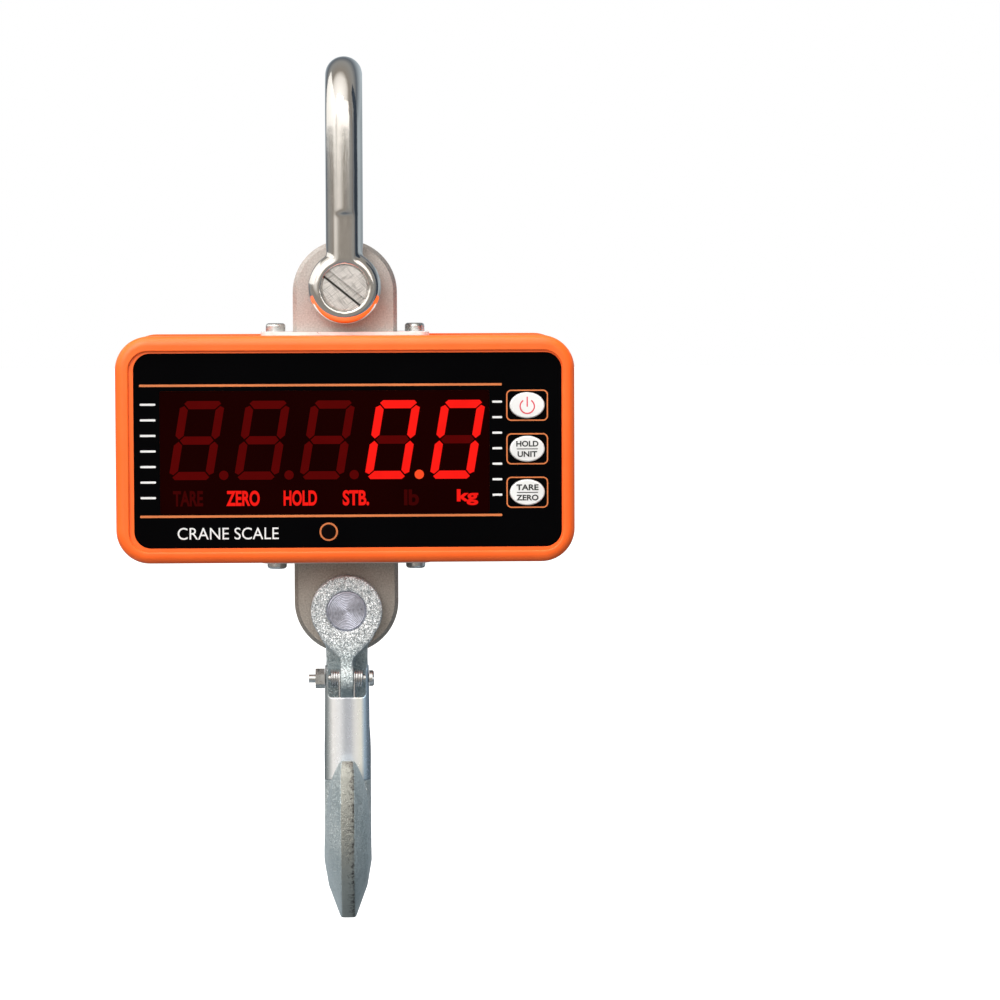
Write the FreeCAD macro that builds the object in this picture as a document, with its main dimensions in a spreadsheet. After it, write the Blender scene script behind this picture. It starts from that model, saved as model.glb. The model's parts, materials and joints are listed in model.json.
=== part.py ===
import FreeCAD, Part
import Sketcher
import math
import os
from types import SimpleNamespace

# Hanging crane scale, in millimetres.  +X is to the right of the display, +Y runs from the
# display to the rear cover and +Z is up.  The origin is where a crane's hook bears on the
# inside of the shackle's crown, so everything hangs below it.

# ---------------------------------------------------------------- driving dimensions
DIMENSIONS = [
    ("upper_pin_drop", 76.2, "origin down to the shackle pin"),
    ("case_drop", 138.7, "origin down to the middle of the case"),
    ("lower_pin_drop", 202.5, "origin down to the hook's clevis pin"),
    ("rod_dia", 14.5, "shackle bar"),
    ("jaw_gap", 26.0, "between the shackle's eyes and between the hook's ears"),
    ("eye_dia", 28.5, "shackle eye"),
    ("eye_width", 13.6, "shackle eye along its pin"),
    ("leg_flat_top", 47.3, "origin down to the top of the flat on each leg"),
    ("leg_flat_depth", 0.8, "metal missing at the flat"),
    ("upper_pin_dia", 18.1, "shackle pin's plain part and head"),
    ("pin_thread_dia", 16.0, "shackle pin's thread"),
    ("pin_slot", 3.1, "screwdriver slot"),
    ("running_gap", 0.05, "radial clearance of pins that turn"),
    ("cell_width", 40.8, "load cell plate and its rounded lugs"),
    ("cell_depth", 24.0, "load cell plate's thickness"),
    ("lug_rise", 60.7, "case middle to the centre of either lug's round end"),
    ("lug_bevel", 1.5, "bevel round the lugs"),
    ("gauge_pocket_dia", 24.0, "round pocket over the thin web"),
    ("gauge_web", 6.0, "thin web that carries the strain gauges"),
    ("cover_dia", 28.0, "disc that closes a gauge pocket"),
    ("cover_thick", 1.2, "its thickness"),
    ("case_width", 177.5, "bezel and rear cover"),
    ("case_height", 87.8, "bezel and rear cover"),
    ("case_corner", 13.0, "their corner radius"),
    ("front_y", 35.0, "case middle forward to the bezel's rim"),
    ("back_y", 35.0, "case middle back to the rear face"),
    ("bezel_depth", 16.0, "bezel, front to back"),
    ("ledge_width", 167.6, "outline of the lower ledge round the panel"),
    ("ledge_height", 77.6, "same"),
    ("ledge_corner", 7.6, "same"),
    ("ledge_x", 0.25, "ledge's middle, right of the case's middle"),
    ("ledge_z", 0.6, "ledge's middle, below the case's middle"),
    ("ledge_depth", 1.1, "face down to that ledge"),
    ("edge_round", 3.4, "rounding of the case's outer edges"),
    ("panel_width", 165.4, "recess for the graphic panel"),
    ("panel_height", 75.4, "same"),
    ("panel_corner", 6.6, "same"),
    ("panel_x", 1.0, "recess's middle, right of the case's middle"),
    ("panel_z", 0.3, "recess's middle, below the case's middle"),
    ("panel_recess", 2.9, "rim down to the recess floor"),
    ("panel_thick", 1.2, "graphic panel and display window"),
    ("web_thick", 2.5, "bezel's face plate behind the panel"),
    ("wall", 3.0, "case walls"),
    ("shell_inset", 1.5, "shell's side inside the bezel's side"),
    ("gasket_thick", 1.0, "case gaskets"),
    ("gasket_wide", 2.4, "case gaskets"),
    ("shell_front_y", 18.0, "case middle forward to the shell's front"),
    ("shell_back_y", 26.0, "case middle back to the shell's rear"),
    ("rear_plate", 4.0, "rear cover's plate"),
    ("boss_dia", 7.2, "screw bosses in the case's corners"),
    ("tie_x", 79.7, "tie screws from the middle"),
    ("tie_z", 34.9, "same"),
    ("tie_dia", 3.0, "tie screws"),
    ("tie_head", 5.6, "their heads"),
    ("window_width", 127.2, "display window"),
    ("window_height", 47.5, "same"),
    ("window_x", 8.0, "window's middle, left of the case's middle"),
    ("window_z", 1.0, "window's middle, below the case's middle"),
    ("digit_pitch", 25.17, "between digit modules"),
    ("digit_first_x", 58.35, "first module, left of the case's middle"),
    ("digit_width", 24.3, "one seven-segment module"),
    ("digit_height", 35.6, "same"),
    ("digit_depth", 7.4, "same"),
    ("digit_rise", 3.7, "module's middle above the case's middle"),
    ("bar_width", 123.0, "annunciator light bar"),
    ("bar_height", 7.6, "same"),
    ("bar_drop", 18.7, "bar's middle below the case's middle"),
    ("board_thick", 1.6, "circuit boards"),
    ("key_x", 70.3, "keys, right of the case's middle"),
    ("key_top_z", 16.8, "top key above the case's middle"),
    ("key_pitch", 16.87, "between keys"),
    ("key_width", 13.5, "key cap"),
    ("key_height", 10.0, "same"),
    ("key_proud", 0.9, "cap above the panel"),
    ("key_gap", 0.2, "cap to panel"),
    ("key_travel", 0.6, "key stroke"),
    ("key_flange", 1.2, "flange that keeps a key in, thickness and margin"),
    ("key_stem", 1.0, "flange back to the stem's end"),
    ("switch_depth", 3.4, "push switch behind each key"),
    ("switch_plunger", 0.9, "its plunger"),
    ("lens_x", 6.7, "infrared lens, left of the case's middle"),
    ("lens_z", 31.8, "lens below the case's middle"),
    ("lens_dia", 5.6, "infrared lens"),
    ("plate_width", 65.8, "top and bottom plates"),
    ("plate_depth", 36.0, "same"),
    ("plate_thick", 2.0, "same"),
    ("plate_top", 45.2, "case middle to a plate's outer face"),
    ("seal_thick", 0.8, "seal under each plate"),
    ("plate_bolt_x", 27.4, "plate bolts from the middle"),
    ("plate_bolt_dia", 4.0, "plate bolts"),
    ("plate_head_dia", 7.7, "their heads"),
    ("plate_head_tall", 3.3, "same"),
    ("collar_thick", 6.0, "collars inside the case that the plate bolts screw into"),
    ("door_width", 66.0, "battery door"),
    ("door_height", 74.0, "same"),
    ("battery_width", 56.0, "battery pack"),
    ("battery_height", 66.0, "same"),
    ("battery_thick", 18.0, "same"),
    ("board_x", 58.0, "processor board's middle, left of the case's middle"),
    ("board_y", 8.0, "case middle back to that board's front"),
    ("jack_x", 62.0, "charging socket, right of the case's middle"),
    ("jack_drop", 20.0, "charging socket below the case's middle"),
    ("jack_dia", 11.0, "its barrel"),
    ("ear_dia", 28.0, "hook's ears"),
    ("ear_outer", 44.0, "over both ears"),
    ("clevis_pin_dia", 15.5, "clevis pin"),
    ("neck_width", 16.4, "hook's neck, left to right"),
    ("hook_width", 19.0, "hook's body, left to right"),
    ("bowl_radius", 20.0, "inside of the hook's bowl"),
    ("bowl_drop", 75.7, "clevis pin down to the bowl's centre"),
    ("hook_drop", 123.9, "clevis pin down to the hook's lowest point"),
    ("latch_y", 19.0, "latch pivot in front of the load line"),
    ("latch_drop", 26.5, "clevis pin down to the latch pivot"),
    ("latch_width", 17.2, "latch over its cheeks"),
    ("latch_low_width", 18.0, "latch at its free end"),
    ("latch_web", 4.8, "pivot to the front of the latch's web"),
    ("latch_sheet", 0.8, "latch's sheet metal"),
    ("latch_reach", 39.6, "pivot to the latch's free end"),
    ("latch_eye", 4.8, "radius of the cheeks round the pivot"),
    ("tongue_width", 5.0, "hook's tongue between the spring's coils"),
    ("latch_bolt_dia", 3.2, "latch pivot bolt"),
]

doc = FreeCAD.newDocument("CraneScale")
sheet = doc.addObject("Spreadsheet::Sheet", "sizes")
for row, (alias, number, meaning) in enumerate(DIMENSIONS, start=1):
    sheet.set(f"A{row}", meaning)
    sheet.set(f"B{row}", str(number))
    sheet.setAlias(f"B{row}", alias)
doc.recompute()


class Dim:
    """A length that carries both its value and the spreadsheet formula that gives it."""

    def __init__(self, value, text):
        self.value = value
        self.text = text

    def __add__(self, other):
        other = as_dim(other)
        return Dim(self.value + other.value, f"({self.text} + {other.text})")

    def __sub__(self, other):
        other = as_dim(other)
        return Dim(self.value - other.value, f"({self.text} - {other.text})")

    def __mul__(self, other):
        other = as_dim(other)
        return Dim(self.value * other.value, f"({self.text} * {other.text})")

    def __truediv__(self, other):
        other = as_dim(other)
        return Dim(self.value / other.value, f"({self.text} / {other.text})")

    def __neg__(self):
        return Dim(-self.value, f"(0 - {self.text})")

    __radd__ = __add__
    __rmul__ = __mul__

    def __rsub__(self, other):
        return as_dim(other) - self


def as_dim(number):
    return number if isinstance(number, Dim) else Dim(float(number), f"{float(number):.6f}")


S = SimpleNamespace(**{
    alias: Dim(float(sheet.get(alias)), f"sizes.{alias}") for alias, _, _ in DIMENSIONS
})

# ---------------------------------------------------------------- shared places
MID_Z = -S.case_drop                             # middle of the case
UPPER_PIN_Z = -S.upper_pin_drop
LOWER_PIN_Z = -S.lower_pin_drop
PANEL_FRONT_Y = -S.front_y + S.panel_recess - S.panel_thick
WEB_FRONT_Y = -S.front_y + S.panel_recess
WEB_BACK_Y = WEB_FRONT_Y + S.web_thick
BEZEL_BACK_Y = -S.front_y + S.bezel_depth
BOARD_FRONT_Y = WEB_FRONT_Y + 1.4 + S.digit_depth  # display board, behind its modules
FLANGE_FRONT_Y = WEB_BACK_Y + 0.05               # key flanges, clear of the face plate
STEM_END_Y = FLANGE_FRONT_Y + S.key_flange + S.key_stem
KEY_BOARD_Y = STEM_END_Y + S.key_travel + 0.1 + S.switch_plunger + S.switch_depth
SHELL_WIDTH = S.case_width - 2 * S.shell_inset
SHELL_HEIGHT = S.case_height - 2 * S.shell_inset
SHELL_CORNER = S.case_corner - S.shell_inset
REAR_INNER_Y = S.back_y - S.rear_plate
PLATE_BASE = S.plate_top - S.plate_thick         # plate's inner face, from the case middle
COLLAR_OUTER = SHELL_HEIGHT / 2 - S.wall         # collar's outer face, from the case middle
BOARD_X = -S.board_x
BOARD_Y = S.board_y
SIDE_SIGN = {"top": 1, "bottom": -1}
CORNERS = [(sx, sz) for sx in (-1, 1) for sz in (-1, 1)]
KEYS = ["power_key", "hold_key", "tare_key"]
DIGIT_COUNT = 5

TURN = {                                          # a primitive's own +Z turned to an axis
    "x": FreeCAD.Rotation(FreeCAD.Vector(0, 1, 0), 90),
    "y": FreeCAD.Rotation(FreeCAD.Vector(1, 0, 0), -90),
    "z": FreeCAD.Rotation(),
}


# ---------------------------------------------------------------- small modelling kit
def new_body(label):
    body = doc.addObject("PartDesign::Body", label)
    body.Label = label
    body.AllowCompound = True
    return body


def bind(item, prop, length):
    item.setExpression(prop, as_dim(length).text)


def move_to(item, x, y, z):
    for axis, place in zip("xyz", (x, y, z)):
        bind(item, f"Placement.Base.{axis}", place)


def block(body, name, size, centre, cut=False):
    """A box given by its size and its middle."""
    kind = "PartDesign::SubtractiveBox" if cut else "PartDesign::AdditiveBox"
    box = body.newObject(kind, name)
    for prop, length in zip(("Length", "Width", "Height"), size):
        bind(box, prop, length)
    move_to(box, *(as_dim(middle) - as_dim(length) / 2 for middle, length in zip(centre, size)))
    return box


def rod(body, name, dia, length, axis, start, cut=False):
    """A cylinder that starts at a point and runs along +axis."""
    kind = "PartDesign::SubtractiveCylinder" if cut else "PartDesign::AdditiveCylinder"
    item = body.newObject(kind, name)
    item.Placement = FreeCAD.Placement(FreeCAD.Vector(), TURN[axis])
    bind(item, "Radius", as_dim(dia) / 2)
    bind(item, "Height", length)
    move_to(item, *start)
    return item


def sketch_on(body, name, role, height):
    """A sketch parallel to one of the body's origin planes, at a height along its normal."""
    plane = next(p for p in body.Origin.OriginFeatures if p.Role == role)
    sketch = body.newObject("Sketcher::SketchObject", name)
    sketch.AttachmentSupport = (plane, [""])
    sketch.MapMode = "FlatFace"
    bind(sketch, "AttachmentOffset.Base.z", height)
    return sketch


def constrain(sketch, kind, places, length):
    """Adds one dimension and binds it to the sheet."""
    length = as_dim(length)
    index = sketch.addConstraint(Sketcher.Constraint(kind, *places, length.value))
    sketch.setExpression(f"Constraints[{index}]", length.text)


def draw_round_rectangle(sketch, width, height, radius, x=0, v=0):
    """A rectangle with round corners, centred on x, v, fully constrained."""
    width, height, radius, x, v = (as_dim(item) for item in (width, height, radius, x, v))
    right, top = width.value / 2, height.value / 2
    r = radius.value
    first = sketch.GeometryCount
    corner_turns = [(1, 1, 0), (-1, 1, 90), (-1, -1, 180), (1, -1, 270)]
    for sx, sv, start in corner_turns:
        centre = FreeCAD.Vector(x.value + sx * (right - r), v.value + sv * (top - r), 0)
        circle = Part.Circle(centre, FreeCAD.Vector(0, 0, 1), r)
        arc = Part.ArcOfCircle(circle, math.radians(start), math.radians(start + 90))
        sketch.addGeometry(arc)
    for index in range(4):
        here = sketch.Geometry[first + index].EndPoint
        there = sketch.Geometry[first + (index + 1) % 4].StartPoint
        sketch.addGeometry(Part.LineSegment(here, there))
    for index in range(4):
        line = first + 4 + index
        following = first + (index + 1) % 4
        sketch.addConstraint(Sketcher.Constraint("Tangent", first + index, 2, line, 1))
        sketch.addConstraint(Sketcher.Constraint("Tangent", line, 2, following, 1))
        sketch.addConstraint(Sketcher.Constraint("Vertical" if index % 2 else "Horizontal", line))
        if index:
            sketch.addConstraint(Sketcher.Constraint("Equal", first, first + index))
    constrain(sketch, "Radius", (first,), radius)
    constrain(sketch, "DistanceX", (-1, 1, first, 3), x + width / 2 - radius)
    constrain(sketch, "DistanceY", (-1, 1, first, 3), v + height / 2 - radius)
    constrain(sketch, "DistanceX", (first + 2, 3, first, 3), width - 2 * radius)
    constrain(sketch, "DistanceY", (first + 2, 3, first, 3), height - 2 * radius)


def draw_ellipse(sketch, width, height, x, v):
    """An ellipse centred on x, v, held by its two diameters."""
    width, height, x, v = (as_dim(item) for item in (width, height, x, v))
    centre = FreeCAD.Vector(x.value, v.value, 0)
    half_width = FreeCAD.Vector(width.value / 2, 0, 0)
    half_height = FreeCAD.Vector(0, height.value / 2, 0)
    curve = sketch.addGeometry(Part.Ellipse(centre + half_width, centre + half_height, centre))
    major = sketch.addGeometry(Part.LineSegment(centre - half_width, centre + half_width), True)
    minor = sketch.addGeometry(Part.LineSegment(centre - half_height, centre + half_height), True)
    sketch.addConstraint(Sketcher.Constraint("InternalAlignment:EllipseMajorDiameter", major, curve))
    sketch.addConstraint(Sketcher.Constraint("InternalAlignment:EllipseMinorDiameter", minor, curve))
    sketch.addConstraint(Sketcher.Constraint("Horizontal", major))
    constrain(sketch, "Distance", (major,), width)
    constrain(sketch, "Distance", (minor,), height)
    constrain(sketch, "DistanceX", (-1, 1, curve, 3), x)
    constrain(sketch, "DistanceY", (-1, 1, curve, 3), v)


def slab(body, name, loops, back_y, depth, cut=False):
    """Round rectangles in the XZ plane, carried forward (towards -Y) from back_y by depth."""
    sketch = sketch_on(body, f"{name}_sketch", "XZ_Plane", -as_dim(back_y))
    for loop in loops:
        draw_round_rectangle(sketch, *loop)
    return extrude(body, name, sketch, depth, cut)


def oval_slab(body, name, oval, back_y, depth, cut=False):
    """An ellipse in the XZ plane, carried forward from back_y by depth."""
    sketch = sketch_on(body, f"{name}_sketch", "XZ_Plane", -as_dim(back_y))
    draw_ellipse(sketch, *oval)
    return extrude(body, name, sketch, depth, cut)


def level_slab(body, name, loops, low_z, height):
    """Round rectangles in the XY plane, carried up from low_z by height."""
    sketch = sketch_on(body, f"{name}_sketch", "XY_Plane", low_z)
    for loop in loops:
        draw_round_rectangle(sketch, *loop)
    return extrude(body, name, sketch, height, cut=False)


def extrude(body, name, sketch, depth, cut):
    feature = body.newObject("PartDesign::Pocket" if cut else "PartDesign::Pad", name)
    feature.Profile = sketch
    feature.Reversed = cut
    bind(feature, "Length", depth)
    sketch.Visibility = False
    return feature


def edges_of(feature, chosen):
    """Names of a feature's edges that pass the test."""
    doc.recompute()
    return [f"Edge{i}" for i, edge in enumerate(feature.Shape.Edges, start=1) if chosen(edge)]


def soften(body, name, feature, chosen, size, kind="Fillet"):
    """Rounds or bevels the chosen edges of the body's latest feature."""
    names = edges_of(feature, chosen)
    dress = body.newObject(f"PartDesign::{kind}", name)
    dress.Base = (feature, names)
    bind(dress, "Radius" if kind == "Fillet" else "Size", size)
    return dress


def at_plane(axis, place):
    """Test for edges that lie in one plane."""
    low, high = f"{axis.upper()}Min", f"{axis.upper()}Max"
    place = as_dim(place).value

    def test(edge):
        box = edge.BoundBox
        return abs(getattr(box, low) - place) < 1e-3 and abs(getattr(box, high) - place) < 1e-3
    return test


def along(axis, inside=None):
    """Test for straight edges parallel to an axis, with an optional limit on their middle."""
    direction = {"x": (1, 0, 0), "y": (0, 1, 0), "z": (0, 0, 1)}[axis]

    def test(edge):
        if edge.Curve.TypeId != "Part::GeomLine":
            return False
        parallel = abs(edge.Curve.Direction.dot(FreeCAD.Vector(*direction))) > 0.9999
        return parallel and (inside is None or inside(edge.CenterOfMass))
    return test


def circle_of(radius, axis="y"):
    """Test for round edges of one radius about one axis."""
    direction = {"x": (1, 0, 0), "y": (0, 1, 0), "z": (0, 0, 1)}[axis]

    def test(edge):
        if edge.Curve.TypeId != "Part::GeomCircle":
            return False
        same_axis = abs(edge.Curve.Axis.dot(FreeCAD.Vector(*direction))) > 0.999
        return same_axis and abs(edge.Curve.Radius - as_dim(radius).value) < 1e-3
    return test


def solid_feature(label, shape):
    """A sub-part whose shape comes from Part's own functions."""
    item = doc.addObject("Part::Feature", label)
    item.Label = label
    item.Shape = shape
    return item


def yz_prism(points, half_width):
    """A closed outline of (y, z) points, carried from -X to +X."""
    corners = [FreeCAD.Vector(-half_width, y, z) for y, z in points]
    face = Part.Face(Part.makePolygon(corners + corners[:1]))
    return face.extrude(FreeCAD.Vector(2 * half_width, 0, 0))


def xz_prism(points, start_y, depth):
    """A closed outline of (x, z) points, carried towards +Y."""
    corners = [FreeCAD.Vector(x, start_y, z) for x, z in points]
    face = Part.Face(Part.makePolygon(corners + corners[:1]))
    return face.extrude(FreeCAD.Vector(0, depth, 0))


def cylinder(dia, length, axis, start):
    """A plain cylinder along +axis, for shapes made with Part's own functions."""
    way = TURN[axis].multVec(FreeCAD.Vector(0, 0, 1))
    return Part.makeCylinder(dia / 2, length, FreeCAD.Vector(*start), way)


def cable(points, dia, arc_radius):
    """A tube along straight runs joined by tangent arcs."""
    corners = [FreeCAD.Vector(*point) for point in points]
    edges = []
    start = corners[0]
    for before, corner, after in zip(corners, corners[1:], corners[2:]):
        into = (corner - before).normalize()
        out = (after - corner).normalize()
        half_turn = into.getAngle(out) / 2
        setback = arc_radius * math.tan(half_turn)
        arc_start = corner - into * setback
        arc_end = corner + out * setback
        inward = (out - into).normalize()
        arc_mid = corner + inward * (arc_radius / math.cos(half_turn) - arc_radius)
        edges.append(Part.LineSegment(start, arc_start).toShape())
        edges.append(Part.Arc(arc_start, arc_mid, arc_end).toShape())
        start = arc_end
    edges.append(Part.LineSegment(start, corners[-1]).toShape())
    path = Part.Wire(edges)
    ring = Part.Wire(Part.makeCircle(dia / 2, corners[0], (corners[1] - corners[0]).normalize()))
    tube = path.makePipeShell([ring], True, True)
    expected = math.pi * dia ** 2 / 4 * path.Length
    if abs(tube.Volume / expected - 1) > 0.01:
        raise ValueError("a cable's volume is not its section times its length")
    return tube


# ---------------------------------------------------------------- shackle
def make_shackle_bow():
    """A round bar bent to a U across the display's plane, with an eye on each leg."""
    body = new_body("shackle_bow")
    crown_radius = S.jaw_gap / 2 + 0.2
    leg_y = crown_radius + S.rod_dia / 2
    arc_z = -crown_radius
    path = sketch_on(body, "bow_path", "YZ_Plane", 0)
    v, zc, leg = leg_y.value, arc_z.value, UPPER_PIN_Z.value
    arc = Part.ArcOfCircle(Part.Circle(FreeCAD.Vector(0, zc, 0), FreeCAD.Vector(0, 0, 1), v), 0, math.pi)
    path.addGeometry(Part.LineSegment(FreeCAD.Vector(v, leg, 0), FreeCAD.Vector(v, zc, 0)))
    path.addGeometry(arc)
    path.addGeometry(Part.LineSegment(FreeCAD.Vector(-v, zc, 0), FreeCAD.Vector(-v, leg, 0)))
    path.addConstraint(Sketcher.Constraint("Tangent", 0, 2, 1, 1))
    path.addConstraint(Sketcher.Constraint("Tangent", 1, 2, 2, 1))
    path.addConstraint(Sketcher.Constraint("Vertical", 0))
    path.addConstraint(Sketcher.Constraint("Vertical", 2))
    path.addConstraint(Sketcher.Constraint("PointOnObject", 1, 3, -2))
    constrain(path, "Radius", (1,), leg_y)
    constrain(path, "DistanceY", (1, 3, -1, 1), -arc_z)
    constrain(path, "DistanceY", (0, 1, -1, 1), S.upper_pin_drop)
    constrain(path, "DistanceY", (2, 2, -1, 1), S.upper_pin_drop)
    ring = sketch_on(body, "bar_section", "XY_Plane", UPPER_PIN_Z)
    ring.addGeometry(Part.Circle(FreeCAD.Vector(0, v, 0), FreeCAD.Vector(0, 0, 1), S.rod_dia.value / 2))
    constrain(ring, "Radius", (0,), S.rod_dia / 2)
    constrain(ring, "DistanceY", (-1, 1, 0, 3), leg_y)
    ring.addConstraint(Sketcher.Constraint("PointOnObject", 0, 3, -2))
    bar = body.newObject("PartDesign::AdditivePipe", "bar")
    bar.Profile = ring
    bar.Spine = (path, ["Edge1", "Edge2", "Edge3"])
    doc.recompute()
    flat_height = S.upper_pin_drop - S.leg_flat_top
    flat_z = -(S.leg_flat_top + flat_height / 2)
    flat_y = leg_y + S.rod_dia / 2 - S.leg_flat_depth / 2
    for side in (-1, 1):
        flat_size = (S.rod_dia, S.leg_flat_depth, flat_height)
        block(body, "leg_flat", flat_size, (0, side * flat_y, flat_z), cut=True)
    for side in (-1, 1):
        near = S.jaw_gap / 2 if side > 0 else -S.jaw_gap / 2 - S.eye_width
        eye = rod(body, "eye", S.eye_dia, S.eye_width, "y", (0, near, UPPER_PIN_Z))
    outer_faces = [side * (S.jaw_gap.value / 2 + S.eye_width.value) for side in (-1, 1)]

    def outer_rim(edge):
        on_face = any(abs(edge.CenterOfMass.y - place) < 0.5 for place in outer_faces)
        return circle_of(S.eye_dia / 2)(edge) and on_face
    eye = soften(body, "eye_round", eye, outer_rim, 4.2)
    reach = S.jaw_gap / 2 + S.eye_width + 2
    rod(body, "head_bore", S.upper_pin_dia + 0.04, reach, "y", (0, -reach, UPPER_PIN_Z), cut=True)
    rod(body, "thread_bore", S.pin_thread_dia + 0.04, reach, "y", (0, 0, UPPER_PIN_Z), cut=True)


def make_shackle_pin():
    """Slotted pin that fills the front eye flush and screws into the rear one."""
    body = new_body("shackle_pin")
    front = -S.jaw_gap / 2 - S.eye_width + 0.3
    plain = -front + S.jaw_gap / 2
    rod(body, "plain_part", S.upper_pin_dia, plain, "y", (0, front, UPPER_PIN_Z))
    thread = rod(body, "thread", S.pin_thread_dia, S.eye_width - 0.4, "y", (0, S.jaw_gap / 2, UPPER_PIN_Z))

    def end_rims(edge):
        round_edge = edge.Curve.TypeId == "Part::GeomCircle"
        return round_edge and (edge.CenterOfMass.y < front.value + 0.1 or edge.CenterOfMass.y > 26)
    soften(body, "end_bevel", thread, end_rims, 0.6, "Chamfer")
    doc.recompute()
    slot = body.newObject("PartDesign::SubtractiveBox", "driver_slot")
    tilt = FreeCAD.Rotation(FreeCAD.Vector(0, 1, 0), 39)
    slot_length = S.upper_pin_dia + 2
    bind(slot, "Length", slot_length)
    bind(slot, "Width", 5.0)
    bind(slot, "Height", S.pin_slot)
    corner = tilt.multVec(FreeCAD.Vector(-slot_length.value / 2, 0, -S.pin_slot.value / 2))
    slot.Placement = FreeCAD.Placement(corner, tilt)
    move_to(slot, corner.x, front - 2.6, UPPER_PIN_Z + corner.z)


# ---------------------------------------------------------------- load cell
def make_load_cell():
    """One plate from lug to lug, thinned to a web in the middle that the gauges sit on."""
    body = new_body("load_cell")
    block(body, "plate", (S.cell_width, S.cell_depth, 2 * S.lug_rise), (0, 0, MID_Z))
    for sign in (-1, 1):
        start = (0, -S.cell_depth / 2, MID_Z + sign * S.lug_rise)
        lug = rod(body, "lug_end", S.cell_width, S.cell_depth, "y", start)
    half_depth = S.cell_depth.value / 2

    def outline(edge):
        return any(at_plane("y", side * half_depth)(edge) for side in (-1, 1))
    bevel = soften(body, "lug_bevel_cut", lug, outline, S.lug_bevel, "Chamfer")
    pin_holes = [
        (UPPER_PIN_Z, S.upper_pin_dia + 2 * S.running_gap),
        (LOWER_PIN_Z, S.clevis_pin_dia + 2 * S.running_gap),
    ]
    for pin_z, dia in pin_holes:
        bevel = rod(body, "pin_hole", dia, S.cell_depth, "y", (0, -S.cell_depth / 2, pin_z), cut=True)
    pocket_deep = (S.cell_depth - S.gauge_web) / 2
    for start in (-S.cell_depth / 2, S.gauge_web / 2):
        rod(body, "gauge_pocket", S.gauge_pocket_dia, pocket_deep, "y", (0, start, MID_Z), cut=True)
    for start in (-S.cell_depth / 2, S.cell_depth / 2 - S.cover_thick):
        rod(body, "cover_seat", S.cover_dia + 0.1, S.cover_thick, "y", (0, start, MID_Z), cut=True)
    rod(body, "wire_hole", 4.0, S.cell_width / 2, "x", (-S.cell_width / 2, -7.5, MID_Z), cut=True)


def make_strain_gauges():
    """Two foil gauges on each side of the thin web."""
    body = new_body("strain_gauges")
    foil = 0.2
    for side in (-1, 1):
        for z_step in (-1, 1):
            middle = (0, side * (S.gauge_web / 2 + foil / 2), MID_Z + z_step * 5)
            block(body, "foil", (8, foil, 5), middle)


def make_gauge_covers():
    body = new_body("gauge_covers")
    for start in (-S.cell_depth / 2, S.cell_depth / 2 - S.cover_thick):
        rod(body, "disc", S.cover_dia, S.cover_thick, "y", (0, start, MID_Z))


# ---------------------------------------------------------------- case
def key_places():
    return [MID_Z + S.key_top_z - S.key_pitch * index for index in range(len(KEYS))]


def key_oval(z, margin=0):
    """A key's outline, or one larger by a margin all round."""
    return S.key_width + 2 * as_dim(margin), S.key_height + 2 * as_dim(margin), S.key_x, z


def make_front_bezel():
    """Tray with a recess for the graphic panel, a face plate behind it and four screw bosses."""
    body = new_body("front_bezel")
    outer = (S.case_width, S.case_height, S.case_corner, 0, MID_Z)
    ledge = (S.ledge_width, S.ledge_height, S.ledge_corner, S.ledge_x, MID_Z - S.ledge_z)
    recess = (S.panel_width, S.panel_height, S.panel_corner, S.panel_x, MID_Z - S.panel_z)
    cavity = (S.case_width - 2 * S.wall, S.case_height - 2 * S.wall, S.case_corner - S.wall, 0, MID_Z)
    full = slab(body, "frame", [outer], BEZEL_BACK_Y, S.bezel_depth)
    rounded = soften(body, "outer_round", full, at_plane("y", -S.front_y), S.edge_round)
    doc.recompute()
    earlier = [edge.CenterOfMass for edge in rounded.Shape.Edges]
    ledge_cut = slab(body, "ledge", [ledge], -S.front_y + S.ledge_depth, S.ledge_depth, cut=True)

    def ledge_rim(edge):
        is_new = all((edge.CenterOfMass - place).Length > 1e-3 for place in earlier)
        return at_plane("y", -S.front_y)(edge) and is_new
    soften(body, "ledge_round", ledge_cut, ledge_rim, 0.5)
    doc.recompute()
    slab(body, "panel_recess_cut", [recess], WEB_FRONT_Y, S.panel_recess, cut=True)
    slab(body, "cavity", [cavity], BEZEL_BACK_Y, BEZEL_BACK_Y - WEB_BACK_Y, cut=True)
    lap = 0.8
    opening = (S.window_width - 2 * lap, S.window_height - 2 * lap, 1.0, -S.window_x, MID_Z - S.window_z)
    slab(body, "window_opening", [opening], WEB_BACK_Y, S.web_thick, cut=True)
    for z in key_places():
        oval_slab(body, "key_hole", key_oval(z, S.key_gap), WEB_BACK_Y, S.web_thick, cut=True)
    lens_z = MID_Z - S.lens_z
    rod(body, "lens_hole", S.lens_dia + 0.1, S.web_thick, "y", (-S.lens_x, WEB_FRONT_Y, lens_z), cut=True)
    for sx, sz in CORNERS:
        place = (sx * S.tie_x, WEB_BACK_Y, MID_Z + sz * S.tie_z)
        rod(body, "boss", S.boss_dia, BEZEL_BACK_Y - WEB_BACK_Y, "y", place)
    for sx, sz in CORNERS:
        place = (sx * S.tie_x, WEB_BACK_Y, MID_Z + sz * S.tie_z)
        rod(body, "boss_hole", S.tie_dia + 0.04, BEZEL_BACK_Y - WEB_BACK_Y, "y", place, cut=True)


def make_gasket(label, back_y):
    """Flat ring clamped between two parts of the case."""
    body = new_body(label)
    inset = 2 * S.gasket_wide
    outer = (SHELL_WIDTH, SHELL_HEIGHT, SHELL_CORNER, 0, MID_Z)
    inner = (SHELL_WIDTH - inset, SHELL_HEIGHT - inset, SHELL_CORNER - S.gasket_wide, 0, MID_Z)
    slab(body, "ring", [outer, inner], back_y, S.gasket_thick)


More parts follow.
